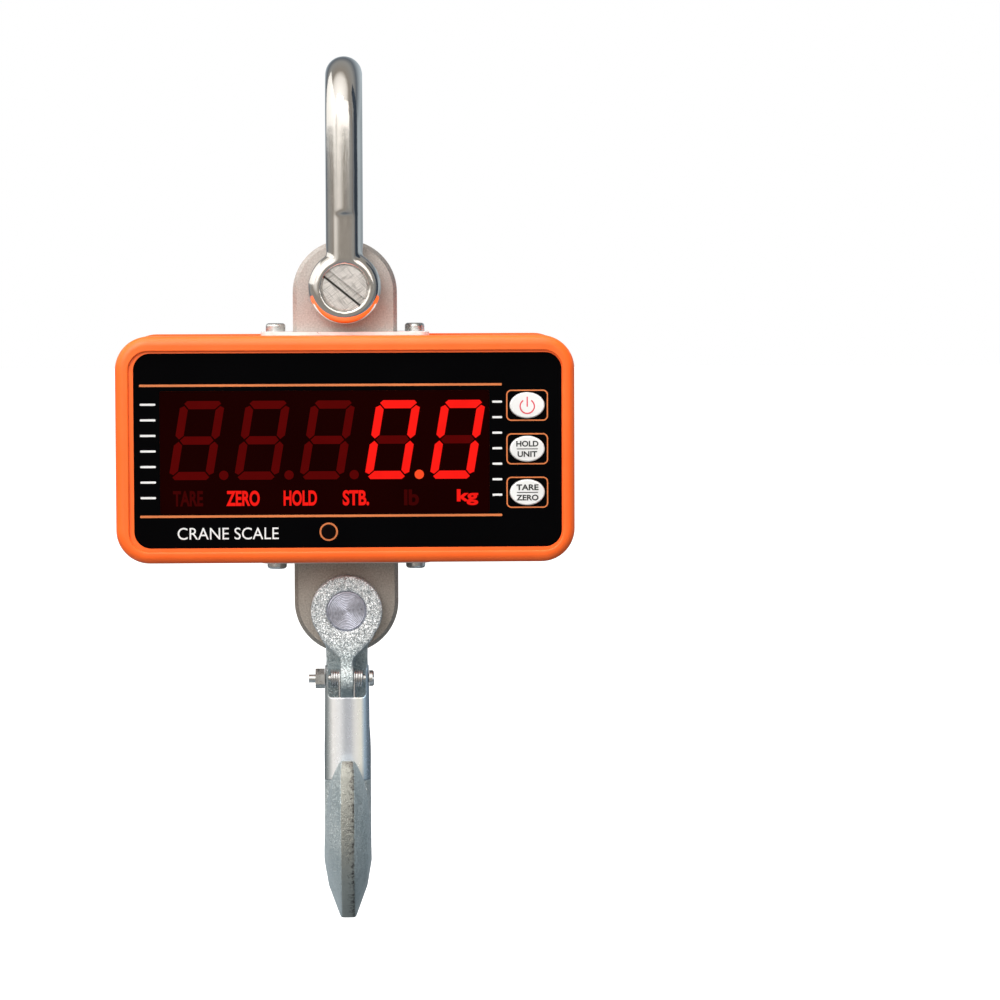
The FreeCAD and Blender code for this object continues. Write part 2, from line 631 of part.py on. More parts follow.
def make_housing_shell():
    """Middle of the case: a walled ring with corner bosses and a slot for each lug."""
    body = new_body("housing_shell")
    outer = (SHELL_WIDTH, SHELL_HEIGHT, SHELL_CORNER, 0, MID_Z)
    inner = (SHELL_WIDTH - 2 * S.wall, SHELL_HEIGHT - 2 * S.wall, SHELL_CORNER - S.wall, 0, MID_Z)
    depth = S.shell_back_y + S.shell_front_y
    slab(body, "wall_ring", [outer, inner], S.shell_back_y, depth)
    for sx, sz in CORNERS:
        place = (sx * S.tie_x, -S.shell_front_y, MID_Z + sz * S.tie_z)
        rod(body, "boss", S.boss_dia, depth, "y", place)
    for sx, sz in CORNERS:
        place = (sx * S.tie_x, -S.shell_front_y, MID_Z + sz * S.tie_z)
        rod(body, "boss_hole", S.tie_dia + 0.3, depth, "y", place, cut=True)
    block(body, "lug_slots", (S.cell_width + 1.6, S.cell_depth + 1.6, S.case_height), (0, 0, MID_Z), cut=True)
    for sx in (-1, 1):
        start = (sx * S.plate_bolt_x, 0, MID_Z - S.case_height / 2)
        rod(body, "bolt_holes", S.plate_bolt_dia + 0.3, S.case_height, "z", start, cut=True)


def make_rear_cover():
    """Back of the case, with a recessed seat for the battery door."""
    body = new_body("rear_cover")
    outer = (S.case_width, S.case_height, S.case_corner, 0, MID_Z)
    cavity = (S.case_width - 2 * S.wall, S.case_height - 2 * S.wall, S.case_corner - S.wall, 0, MID_Z)
    start_y = S.shell_back_y + S.gasket_thick
    full = slab(body, "pan", [outer], S.back_y, S.back_y - start_y)
    soften(body, "outer_round", full, at_plane("y", S.back_y), S.edge_round)
    doc.recompute()
    slab(body, "pan_cavity", [cavity], REAR_INNER_Y, REAR_INNER_Y - start_y, cut=True)
    seat = (S.door_width + 0.4, S.door_height + 0.4, 3.2, 0, MID_Z)
    slab(body, "door_seat", [seat], S.back_y, S.rear_plate / 2, cut=True)
    mouth = (S.battery_width + 2, S.battery_height + 2, 2.0, 0, MID_Z)
    slab(body, "battery_mouth", [mouth], S.back_y, S.rear_plate, cut=True)
    for sx, sz in CORNERS:
        place = (sx * S.tie_x, start_y, MID_Z + sz * S.tie_z)
        rod(body, "boss", S.boss_dia, REAR_INNER_Y - start_y, "y", place)
    for sx, sz in CORNERS:
        place = (sx * S.tie_x, start_y, MID_Z + sz * S.tie_z)
        rod(body, "screw_hole", S.tie_dia + 0.3, S.back_y - start_y, "y", place, cut=True)
        head_place = (sx * S.tie_x, S.back_y - 2.4, MID_Z + sz * S.tie_z)
        rod(body, "head_recess", S.tie_head + 0.6, 2.4, "y", head_place, cut=True)
    for sx, sz in CORNERS:
        place = door_screw(sx, sz, REAR_INNER_Y)
        rod(body, "door_screw_hole", 2.1, S.rear_plate / 2, "y", place, cut=True)
    jack = (S.jack_x, REAR_INNER_Y, MID_Z - S.jack_drop)
    rod(body, "jack_hole", S.jack_dia + 0.2, S.rear_plate, "y", jack, cut=True)


def door_screw(sx, sz, y):
    """Place of one of the battery door's screws."""
    return sx * (S.door_width / 2 - 3.2), y, MID_Z + sz * (S.door_height / 2 - 8)


def make_tie_screws():
    """Four long screws that hold bezel, shell and rear cover together."""
    body = new_body("case_screws")
    tip_y = WEB_BACK_Y + 2.5
    head_y = S.back_y - 2.4
    for sx, sz in CORNERS:
        x, z = sx * S.tie_x, MID_Z + sz * S.tie_z
        rod(body, "shank", S.tie_dia, head_y - tip_y, "y", (x, tip_y, z))
        head = rod(body, "head", S.tie_head, 1.9, "y", (x, head_y, z))
    soften(body, "head_round", head, at_plane("y", head_y + 1.9), 0.7)
    doc.recompute()
    for sx, sz in CORNERS:
        x, z = sx * S.tie_x, MID_Z + sz * S.tie_z
        for size in ((3.2, 1.0, 0.7), (0.7, 1.0, 3.2)):
            block(body, "cross_slot", size, (x, head_y + 1.6, z), cut=True)


def make_end_plate(side):
    """Plate, seal, inner collar and bolts where a lug leaves the case."""
    sign = SIDE_SIGN[side]

    def level(distance, thickness):
        """Low face of a layer whose outer face is at a distance from the case's middle."""
        return MID_Z + distance - thickness if sign > 0 else MID_Z - distance

    plate = new_body(f"{side}_plate")
    outline = (S.plate_width, S.plate_depth, 4.0)
    lug_hole = (S.cell_width + 0.6, S.cell_depth + 0.6, 1.2)
    level_slab(plate, "sheet", [outline, lug_hole], level(S.plate_top, S.plate_thick), S.plate_thick)
    seal = new_body(f"{side}_seal")
    seal_outline = (S.plate_width - 1, S.plate_depth - 1, 3.5)
    lip_hole = (S.cell_width + 0.1, S.cell_depth + 0.1, 0.8)
    level_slab(seal, "lip", [seal_outline, lip_hole], level(PLATE_BASE, S.seal_thick), S.seal_thick)
    collar = new_body(f"{side}_collar")
    collar_outline = (S.plate_width, S.cell_depth + 10, 3.0)
    collar_low_z = level(COLLAR_OUTER, S.collar_thick)
    level_slab(collar, "ring", [collar_outline, lug_hole], collar_low_z, S.collar_thick)
    bolts = new_body(f"{side}_plate_bolts")
    shank_length = S.plate_top - COLLAR_OUTER + S.collar_thick
    head_z = level(S.plate_top + S.plate_head_tall, S.plate_head_tall)
    for sx in (-1, 1):
        x = sx * S.plate_bolt_x
        for body, gap in ((plate, 0.3), (seal, 0.3), (collar, 0.04)):
            start = (x, 0, MID_Z - S.plate_top if sign < 0 else MID_Z)
            rod(body, "bolt_hole", S.plate_bolt_dia + gap, S.plate_top, "z", start, cut=True)
        rod(bolts, "shank", S.plate_bolt_dia, shank_length, "z", (x, 0, level(S.plate_top, shank_length)))
        head = rod(bolts, "head", S.plate_head_dia, S.plate_head_tall, "z", (x, 0, head_z))
    outer_z = MID_Z + sign * (S.plate_top + S.plate_head_tall)
    soften(bolts, "head_round", head, at_plane("z", outer_z), 1.2)
    doc.recompute()
    for sx in (-1, 1):
        socket = bolts.newObject("PartDesign::SubtractivePrism", "hex_socket")
        bind(socket, "Circumradius", 1.6)
        bind(socket, "Height", 2.0)
        move_to(socket, sx * S.plate_bolt_x, 0, outer_z - 1.9 if sign > 0 else outer_z - 0.1)
    if side == "top":
        make_cell_screws(collar, level(COLLAR_OUTER - S.collar_thick / 2, 0))


def make_cell_screws(collar, z):
    """Two set screws that fix the top collar, and with it the case, to the load cell."""
    depth = S.cell_depth / 2 + 5
    for side in (-1, 1):
        near = side * depth if side < 0 else S.cell_depth / 2
        rod(collar, "set_hole", 4.04, 5, "y", (12, near, z), cut=True)
    screws = new_body("cell_screws")
    for side in (-1, 1):
        near = -S.cell_depth / 2 - 4.4 if side < 0 else S.cell_depth / 2
        rod(screws, "set_screw", 4, 4.4, "y", (12, near, z))


# ---------------------------------------------------------------- display and keys
def make_front_panel():
    """Printed sheet glued into the bezel's recess."""
    body = new_body("front_panel")
    play = 0.2
    sheet_loop = (S.panel_width - play, S.panel_height - play, S.panel_corner - play / 2, S.panel_x,
                  MID_Z - S.panel_z)
    window = (S.window_width + 0.1, S.window_height + 0.1, 0.8, -S.window_x, MID_Z - S.window_z)
    slab(body, "sheet", [sheet_loop, window], WEB_FRONT_Y, S.panel_thick)
    for z in key_places():
        oval_slab(body, "key_hole", key_oval(z, S.key_gap), WEB_FRONT_Y, S.panel_thick, cut=True)
    start = (-S.lens_x, PANEL_FRONT_Y, MID_Z - S.lens_z)
    rod(body, "lens_hole", S.lens_dia + 0.1, S.panel_thick, "y", start, cut=True)


def make_display_window():
    body = new_body("display_window")
    pane = (S.window_width, S.window_height, 0.75, -S.window_x, MID_Z - S.window_z)
    slab(body, "pane", [pane], WEB_FRONT_Y, S.panel_thick)


def make_keys():
    """Key caps with a flange behind the bezel's face plate and a stem to the switch."""
    for label, z in zip(KEYS, key_places()):
        body = new_body(label)
        cap_depth = FLANGE_FRONT_Y - PANEL_FRONT_Y + S.key_proud
        cap_pad = oval_slab(body, "cap", key_oval(z), FLANGE_FRONT_Y, cap_depth)
        soften(body, "cap_round", cap_pad, at_plane("y", PANEL_FRONT_Y - S.key_proud), 0.6)
        doc.recompute()
        flange_back_y = FLANGE_FRONT_Y + S.key_flange
        oval_slab(body, "flange", key_oval(z, S.key_flange), flange_back_y, S.key_flange)
        rod(body, "stem", 3.2, S.key_stem, "y", (S.key_x, flange_back_y, z))


def make_key_board():
    """Small board with one push switch behind each key."""
    middle_z = MID_Z + S.key_top_z - S.key_pitch
    board = new_body("key_board")
    block(board, "board", (19, S.board_thick, 54), (S.key_x, KEY_BOARD_Y + S.board_thick / 2, middle_z))
    switches = new_body("key_switches")
    for z in key_places():
        case_y = KEY_BOARD_Y - S.switch_depth
        block(switches, "case", (6, S.switch_depth, 6), (S.key_x, case_y + S.switch_depth / 2, z))
        rod(switches, "plunger", 3.0, S.switch_plunger, "y", (S.key_x, case_y - S.switch_plunger, z))


def make_display_board():
    """Board that carries the digit modules and the annunciator bar."""
    board = new_body("display_board")
    middle = (-S.window_x, BOARD_FRONT_Y + S.board_thick / 2, MID_Z)
    block(board, "board", (S.window_width + 2, S.board_thick, 70), middle)
    for index in range(DIGIT_COUNT):
        digit = new_body(f"led_digit_{index + 1}")
        x = -S.digit_first_x + S.digit_pitch * index
        middle = (x, BOARD_FRONT_Y - S.digit_depth / 2, MID_Z + S.digit_rise)
        block(digit, "module", (S.digit_width, S.digit_depth, S.digit_height), middle)
    bar = new_body("status_light_bar")
    middle = (-S.window_x, BOARD_FRONT_Y - S.digit_depth / 2, MID_Z - S.bar_drop)
    block(bar, "module", (S.bar_width, S.digit_depth, S.bar_height), middle)


def make_infrared_parts():
    """Domed lens in the panel and the receiver behind it."""
    lens = new_body("infrared_lens")
    z = MID_Z - S.lens_z
    front = PANEL_FRONT_Y - 0.5
    barrel = rod(lens, "barrel", S.lens_dia, WEB_BACK_Y - front, "y", (-S.lens_x, front, z))
    soften(lens, "dome", barrel, at_plane("y", front), 0.45)
    receiver = new_body("infrared_receiver")
    depth = BOARD_FRONT_Y - WEB_BACK_Y - 0.4
    block(receiver, "package", (6, depth, 5), (-S.lens_x, BOARD_FRONT_Y - depth / 2, z + 0.6))


# ---------------------------------------------------------------- parts inside and behind
def make_battery_parts():
    pack = new_body("battery_pack")
    front = S.cell_depth / 2 + 1
    cell_dia = S.battery_thick
    gap = (S.battery_width - 3 * cell_dia) / 2
    for index in (-1, 0, 1):
        start = (index * (cell_dia + gap / 2), front + cell_dia / 2, MID_Z - S.battery_height / 2)
        rod(pack, "cell", cell_dia, S.battery_height, "z", start)
    wrap_depth = cell_dia * 0.55
    wrap = (S.battery_width - cell_dia, wrap_depth, S.battery_height)
    block(pack, "wrap", wrap, (0, front + cell_dia / 2, MID_Z))
    pad = new_body("battery_pad")
    pad_y = front + cell_dia
    pad_thick = S.back_y - S.rear_plate / 2 - pad_y
    block(pad, "foam", (40, pad_thick, 50), (0, pad_y + pad_thick / 2, MID_Z))
    door = new_body("battery_door")
    door_y = S.back_y - S.rear_plate / 2
    plate = (S.door_width, S.door_height, 3.0, 0, MID_Z)
    plate_pad = slab(door, "plate", [plate], S.back_y, S.rear_plate / 2)
    soften(door, "edge_round", plate_pad, at_plane("y", S.back_y), 0.5)
    doc.recompute()
    for index in range(7):
        z = MID_Z + (index - 3) * 4.2
        block(door, "grip_groove", (30, 0.6, 1.4), (0, S.back_y - 0.3, z), cut=True)
    screws = new_body("battery_door_screws")
    for sx, sz in CORNERS:
        x, _, z = door_screw(sx, sz, 0)
        rod(door, "screw_hole", 2.4, S.rear_plate / 2, "y", (x, door_y, z), cut=True)
        rod(door, "head_recess", 4.8, 1.3, "y", (x, S.back_y - 1.3, z), cut=True)
        rod(screws, "shank", 2.0, S.rear_plate - 1.3, "y", (x, REAR_INNER_Y, z))
        head = rod(screws, "head", 4.2, 1.2, "y", (x, S.back_y - 1.3, z))
    soften(screws, "head_round", head, at_plane("y", S.back_y - 0.1), 0.4)
    doc.recompute()
    for sx, sz in CORNERS:
        x, _, z = door_screw(sx, sz, 0)
        block(screws, "slot", (3.0, 0.8, 0.6), (x, S.back_y - 0.3, z), cut=True)


def make_main_board():
    """Processor board left of the load cell, on four pillars from the rear cover."""
    board = new_body("main_board")
    board_size = (44, S.board_thick, 58)
    block(board, "board", board_size, (BOARD_X, BOARD_Y + S.board_thick / 2, MID_Z))
    block(board, "processor", (12, 2.0, 12), (BOARD_X + 4, BOARD_Y + S.board_thick + 1, MID_Z + 14))
    block(board, "converter", (8, 1.6, 6), (BOARD_X + 4, BOARD_Y - 0.8, MID_Z - 12))
    block(board, "gauge_connector", (6, 6, 8), (BOARD_X + 17, BOARD_Y - 3, MID_Z))
    block(board, "battery_connector", (8, 4, 6), (BOARD_X + 15, BOARD_Y + S.board_thick + 2, MID_Z - 14))
    pillars = new_body("board_pillars")
    screws = new_body("board_screws")
    pillar_y = BOARD_Y + S.board_thick
    for sx, sz in CORNERS:
        x, z = BOARD_X + sx * 18.5, MID_Z + sz * 25.5
        rod(board, "screw_hole", 3.2, S.board_thick, "y", (x, BOARD_Y, z), cut=True)
        rod(pillars, "pillar", 5.5, REAR_INNER_Y - pillar_y, "y", (x, pillar_y, z))
        rod(screws, "head", 5.0, 1.6, "y", (x, BOARD_Y - 1.6, z))
        rod(screws, "shank", 3.0, S.board_thick + 4, "y", (x, BOARD_Y, z))
    for sx, sz in CORNERS:
        x, z = BOARD_X + sx * 18.5, MID_Z + sz * 25.5
        rod(pillars, "tapped_hole", 3.04, 5, "y", (x, pillar_y, z), cut=True)
    buzzer = new_body("buzzer")
    rod(buzzer, "can", 12, 7, "y", (BOARD_X - 8, BOARD_Y - 7, MID_Z + 14))
    rod(buzzer, "sound_hole", 2, 2, "y", (BOARD_X - 8, BOARD_Y - 7, MID_Z + 14), cut=True)


def make_charging_parts():
    """Barrel socket in the rear cover, its nut and the rubber plug that keeps it clean."""
    z = MID_Z - S.jack_drop
    socket = new_body("charge_socket")
    rod(socket, "barrel", S.jack_dia, S.rear_plate + 12, "y", (S.jack_x, REAR_INNER_Y - 12, z))
    rod(socket, "flange", S.jack_dia + 3, 1.2, "y", (S.jack_x, S.back_y, z))
    rod(socket, "mouth", 5.8, 10.5, "y", (S.jack_x, S.back_y + 1.2 - 10.5, z), cut=True)
    rod(socket, "contact", 2.0, 9.5, "y", (S.jack_x, S.back_y + 1.2 - 10.5, z))
    nut = new_body("charge_socket_nut")
    prism = nut.newObject("PartDesign::AdditivePrism", "hexagon")
    prism.Placement = FreeCAD.Placement(FreeCAD.Vector(), TURN["y"])
    bind(prism, "Circumradius", 8.0)
    bind(prism, "Height", 2.5)
    move_to(prism, S.jack_x, REAR_INNER_Y - 2.5, z)
    rod(nut, "thread", S.jack_dia + 0.04, 2.5, "y", (S.jack_x, REAR_INNER_Y - 2.5, z), cut=True)
    plug = new_body("dust_plug")
    cap_y = S.back_y + 1.2
    stem_start = cap_y - 6.0
    rod(plug, "stem", 5.7, 6.0, "y", (S.jack_x, stem_start, z))
    cap = rod(plug, "cap", 13.0, 1.8, "y", (S.jack_x, cap_y, z))
    soften(plug, "cap_round", cap, at_plane("y", cap_y + 1.8), 0.8)
    doc.recompute()
    rod(plug, "hollow", 2.2, 6.0, "y", (S.jack_x, stem_start, z), cut=True)
    block(plug, "pull_tab", (7, 1.6, 4.5), (S.jack_x, cap_y + 0.9, z - 7.2))


def make_rating_plate():
    body = new_body("rating_plate")
    plate = (34, 26, 1.5, 58, MID_Z + 12)
    slab(body, "foil", [plate], S.back_y + 0.4, 0.4)


def make_cables():
    """Gauge cable, battery lead and display ribbon, each held at both ends."""
    mid_z, board_x, board_y = MID_Z.value, BOARD_X.value, BOARD_Y.value
    exit_x = -S.cell_width.value / 2
    plug_x = board_x + 20
    gauge_path = [(exit_x, -7.5, mid_z), (-31, -7.5, mid_z), (-31, board_y - 3, mid_z),
                  (plug_x, board_y - 3, mid_z)]
    solid_feature("gauge_cable", cable(gauge_path, 3.2, 3.6))
    lead_z = mid_z - 14
    pack_x = -S.battery_width.value / 2
    lead_y = S.cell_depth.value / 2 + 1 + S.battery_thick.value / 2
    lead_path = [(pack_x, lead_y, lead_z), (board_x + 15, lead_y, lead_z),
                 (board_x + 15, board_y + S.board_thick.value + 4, lead_z)]
    solid_feature("battery_lead", cable(lead_path, 3.0, 5.0))
    ribbon = new_body("display_ribbon")
    start_y = BOARD_FRONT_Y + S.board_thick
    strip = BOARD_Y - start_y
    block(ribbon, "strip", (15, strip, 0.9), (BOARD_X, start_y + strip / 2, MID_Z - 23))
    for y in (start_y + 2.5, BOARD_Y - 2.5):
        block(ribbon, "plug", (17, 5, 4), (BOARD_X, y, MID_Z - 23))


# ---------------------------------------------------------------- hook
def forged_section(inner, outer, half_inner, half_outer):
    """Section from an inner (y, z) point to an outer one: round inside, flat ridge outside."""
    swell = half_outer + 0.71 * (half_inner - half_outer)
    half = [(0.0, 0.45 * half_inner), (0.05, 0.8 * half_inner), (0.16, half_inner),
            (0.54, swell), (0.97, half_outer), (1.0, half_outer - 0.5)]
    outline = half + [(share, -width) for share, width in reversed(half)]
    corners = []
    for share, width in outline:
        y = inner[0] + (outer[0] - inner[0]) * share
        z = inner[1] + (outer[1] - inner[1]) * share
        corners.append(FreeCAD.Vector(width, y, z))
    return Part.makePolygon(corners + corners[:1])


def hook_stations():
    """Sections from the neck round the bowl to the tip, below the clevis pin."""
    bowl_z = -S.bowl_drop.value
    r = S.bowl_radius.value
    bottom = S.hook_drop.value - S.bowl_drop.value
    neck, full, ridge = S.neck_width.value / 2, S.hook_width.value / 2, 3.3
    stations = [
        ((-9.5, -23), (9.8, -23), neck, neck),
        ((-9.5, -34), (10.8, -35), neck, neck),
        ((-6.3, -43), (17.5, -40), neck + 0.3, neck - 0.8),
        ((3.0, -52.5), (27.0, -47.5), full - 0.3, neck - 2.2),
        ((12.5, -61.5), (35.5, -57), full, 4.8),
        ((18.3, -69.5), (40.0, -67.5), full, 4.0),
    ]
    bowl_turns = [(0, 22.0, full), (-30, 23.6, full), (-60, 26.0, full), (-90, bottom - r, full),
                  (-120, 25.6, full), (-150, 23.0, full - 0.3), (-180, 20.0, full - 1.3)]
    for degrees, deep, half in bowl_turns:
        cy, cz = math.cos(math.radians(degrees)), math.sin(math.radians(degrees))
        inner = (r * cy, bowl_z + r * cz)
        outer = ((r + deep) * cy, bowl_z + (r + deep) * cz)
        stations.append((inner, outer, half, ridge if degrees > -120 else ridge - 0.3))
    stations += [
        ((-24.9, -66.6), (-38.6, -66.0), 6.7, 2.9),
        ((-26.2, -61.2), (-36.8, -60.2), 4.6, 2.7),
        ((-27.8, -58.0), (-33.8, -57.0), 2.8, 2.4),
    ]
    return stations


def make_hook_body():
    """Forged clevis hook: fork, neck, tapering bowl and tip, and the tongue for the latch."""
    shape = Part.makeLoft([forged_section(*station) for station in hook_stations()], True, False)
    ear_r, ear_y = S.ear_dia.value / 2, S.ear_outer.value / 2
    neck = S.neck_width.value / 2
    front_view = cylinder(2 * ear_r, 2 * ear_y, "y", (0, -ear_y, 0))
    neck_block = Part.makeBox(2 * neck, 2 * ear_y, 38, FreeCAD.Vector(-neck, -ear_y, -38))
    shoulder_x, shoulder_z = ear_r * 0.94, -ear_r * 0.35
    shoulder = [(-shoulder_x, shoulder_z), (shoulder_x, shoulder_z), (neck, -ear_r), (-neck, -ear_r)]
    front_view = front_view.fuse([neck_block, xz_prism(shoulder, -ear_y, 2 * ear_y)])
    side_outline = [(-ear_y, ear_r), (ear_y, ear_r), (ear_y, -15), (12.5, -28), (10, -37), (-9, -37),
                    (-9.5, -31), (-12.5, -24), (-16.5, -15), (-ear_y, -12)]
    fork = front_view.common(yz_prism(side_outline, ear_r))
    gap = S.jaw_gap.value / 2
    fork = fork.cut(Part.makeBox(2 * ear_r, 2 * gap, ear_r + 20.3, FreeCAD.Vector(-ear_r, -gap, -20.3)))
    tongue = S.tongue_width.value / 2
    pivot_y, pivot_z = -S.latch_y.value, -S.latch_drop.value
    boss = cylinder(9.6, 2 * tongue, "x", (-tongue, pivot_y, pivot_z))
    root = yz_prism([(pivot_y, pivot_z - 4.8), (pivot_y + 1.5, pivot_z + 4.6), (-9, pivot_z + 3), (-8, -38),
                     (-10.5, -37)], tongue)
    left = [(-neck, -10), (-neck, -12.8), (-tongue, -18.8), (-tongue, pivot_z)]
    taper = left + [(-x, z) for x, z in reversed(left)]
    nose = xz_prism(taper, -ear_y, ear_y - gap)
    shape = shape.fuse([fork, boss, root, nose])
    shape = shape.cut(cylinder(S.latch_bolt_dia.value + 0.04, 20, "x", (-10, pivot_y, pivot_z)))
    shape = shape.cut(cylinder(S.clevis_pin_dia.value + 0.04, 60, "y", (0, -30, 0)))
    shape = shape.removeSplitter()
    item = solid_feature("hook_body", shape)
    item.Placement = FreeCAD.Placement(FreeCAD.Vector(0, 0, LOWER_PIN_Z.value), FreeCAD.Rotation())


def make_clevis_pin():
    body = new_body("clevis_pin")
    pin = rod(body, "pin", S.clevis_pin_dia, S.ear_outer, "y", (0, -S.ear_outer / 2, LOWER_PIN_Z))
    soften(body, "end_bevel", pin, circle_of(S.clevis_pin_dia / 2), 0.7, "Chamfer")


def channel_section(half, front, bend, z):
    """Plan outline of a pressed channel: crowned web in front, a round bend each side and straight cheeks."""
    crown = 0.5
    far = 30
    web_side = FreeCAD.Vector(half - bend, front + crown, z)
    corner = FreeCAD.Vector(half - 0.29 * bend, front + crown + 0.29 * bend, z)
    cheek = FreeCAD.Vector(half, front + crown + bend, z)
    back = FreeCAD.Vector(half, far, z)

    def mirrored(point):
        return FreeCAD.Vector(-point.x, point.y, point.z)
    web = Part.Arc(mirrored(web_side), FreeCAD.Vector(0, front, z), web_side)
    right = Part.Arc(web_side, corner, cheek)
    left = Part.Arc(mirrored(cheek), mirrored(corner), mirrored(web_side))
    straights = [(cheek, back), (back, mirrored(back)), (mirrored(back), mirrored(cheek))]
    lines = [Part.LineSegment(*ends) for ends in straights]
    return Part.Wire([part.toShape() for part in (web, right, *lines, left)])


def channel_block(trim):
    """Solid bounded by the channel's outline, wider at the bottom, and smaller all round by trim."""
    bend, above = 2.4, 12
    reach, front = S.latch_reach.value, S.latch_web.value
    top, low = S.latch_width.value / 2, S.latch_low_width.value / 2
    widening = (low - top) / reach
    ends = [(above, top - widening * above), (-reach - 1, low + widening)]
    sections = [channel_section(half - trim, trim - front, bend - trim, z) for z, half in ends]
    return Part.makeLoft(sections, True, True)


def make_safety_latch():
    """Pressed channel: a web in front, and a cheek each side that turns on the bolt."""
    half, reach = S.latch_width.value / 2, S.latch_reach.value
    eye, ear_rise = S.latch_eye.value, 0.5
    side_view = [(-10, ear_rise), (-10, -reach), (-1.6, -reach), (2.2, -reach + 10), (3.4, -8),
                 (eye - 0.3, -2), (eye, ear_rise)]
    side = yz_prism(side_view, 20).fuse(cylinder(2 * eye, 40, "x", (-20, 0, ear_rise)))
    solid = side.common(channel_block(0)).cut(channel_block(S.latch_sheet.value))
    mouth_half, mouth_bottom = half - 1.3, -7.1
    mouth = Part.makeBox(2 * mouth_half, 20, 30, FreeCAD.Vector(-mouth_half, -20 + eye - 2, mouth_bottom))
    bottom_corners = [edge for edge in mouth.Edges if along("y")(edge) and edge.CenterOfMass.z < 0]
    solid = solid.cut(mouth.makeFillet(1.4, bottom_corners)).removeSplitter()
    pivot_bore = S.latch_bolt_dia.value + 2 * S.running_gap.value
    solid = solid.cut(cylinder(pivot_bore, 30, "x", (-15, 0, 0)))
    item = solid_feature("safety_latch", solid)
    place = FreeCAD.Vector(0, -S.latch_y.value, (LOWER_PIN_Z - S.latch_drop).value)
    item.Placement = FreeCAD.Placement(place, FreeCAD.Rotation())


def make_latch_hardware():
    """Bolt and nut that the latch turns on."""
    y, z = -S.latch_y, LOWER_PIN_Z - S.latch_drop
    reach = S.latch_width / 2 + 0.1
    bolt = new_body("latch_bolt")
    rod(bolt, "shank", S.latch_bolt_dia, 2 * reach + 6.2, "x", (-reach - 6.2, y, z))
    head = rod(bolt, "head", 6.2, 1.9, "x", (reach, y, z))
    soften(bolt, "head_round", head, at_plane("x", reach + 1.9), 0.8)
    doc.recompute()
    block(bolt, "driver_slot", (1.4, 6.4, 0.9), (reach + 1.9, y, z), cut=True)
    nut = new_body("latch_nut")
    prism = nut.newObject("PartDesign::AdditivePrism", "hexagon")
    prism.Placement = FreeCAD.Placement(FreeCAD.Vector(), TURN["x"])
    bind(prism, "Circumradius", 3.9)
    bind(prism, "Height", 3.6)
    move_to(prism, -reach - 3.6, y, z)
    rod(nut, "thread", S.latch_bolt_dia + 0.04, 3.6, "x", (-reach - 3.6, y, z), cut=True)


def make_latch_spring():
    """Two coils round the bolt; one pair of ends bears on the neck, the other on the latch."""
    y, z = -S.latch_y, LOWER_PIN_Z - S.latch_drop
    body = new_body("latch_spring")
    wire = 1.1
    outer, length = 7.2, 3.3
    starts = (S.tongue_width / 2 + 0.3, -S.tongue_width / 2 - 0.3 - length)
    for start in starts:
        rod(body, "coil", outer, length, "x", (start, y, z))
        middle_x = start + length / 2
        block(body, "latch_leg", (wire, wire, 15), (middle_x, y - outer / 2 + wire / 2, z - 7.5))
        block(body, "neck_leg", (wire, 6, wire), (middle_x, y + 3, z - outer / 2 + wire / 2))
    for start in starts:
        rod(body, "bore", S.latch_bolt_dia + 0.6, length, "x", (start, y, z), cut=True)


# ---------------------------------------------------------------- build, check and write
def build():
    make_shackle_bow()
    make_shackle_pin()
    make_load_cell()
    make_strain_gauges()
    make_gauge_covers()
    make_front_bezel()
    make_gasket("front_gasket", -S.shell_front_y)
    make_housing_shell()
    make_gasket("rear_gasket", S.shell_back_y + S.gasket_thick)
    make_rear_cover()
    make_tie_screws()
    for side in SIDE_SIGN:
        make_end_plate(side)
    make_front_panel()
    make_display_window()
    make_keys()
    make_key_board()
    make_display_board()
    make_infrared_parts()
    make_battery_parts()
    make_main_board()
    make_charging_parts()
    make_rating_plate()
    make_cables()
    make_hook_body()
    make_clevis_pin()
    make_safety_latch()
    make_latch_hardware()
    make_latch_spring()
    doc.recompute()


def subparts():
    kinds = ("PartDesign::Body", "Part::Feature")
    return [item for item in doc.Objects if item.TypeId in kinds]


def check():
    """Stops if anything in the document failed."""
    for item in doc.Objects:
        if "Invalid" in item.State or "Error" in item.State:
            raise ValueError(f"{item.Label} failed: {item.State}")
    for item in subparts():
        if item.Shape.isNull() or not item.Shape.isValid():
            raise ValueError(f"{item.Label} has no valid shape")


def write():
    os.makedirs("parts", exist_ok=True)
    for item in subparts():
        item.Shape.exportStep(f"parts/{item.Label}.step")


build()
check()
write()
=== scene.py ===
import json
import math

import bmesh
import bpy
from mathutils import Matrix, Vector


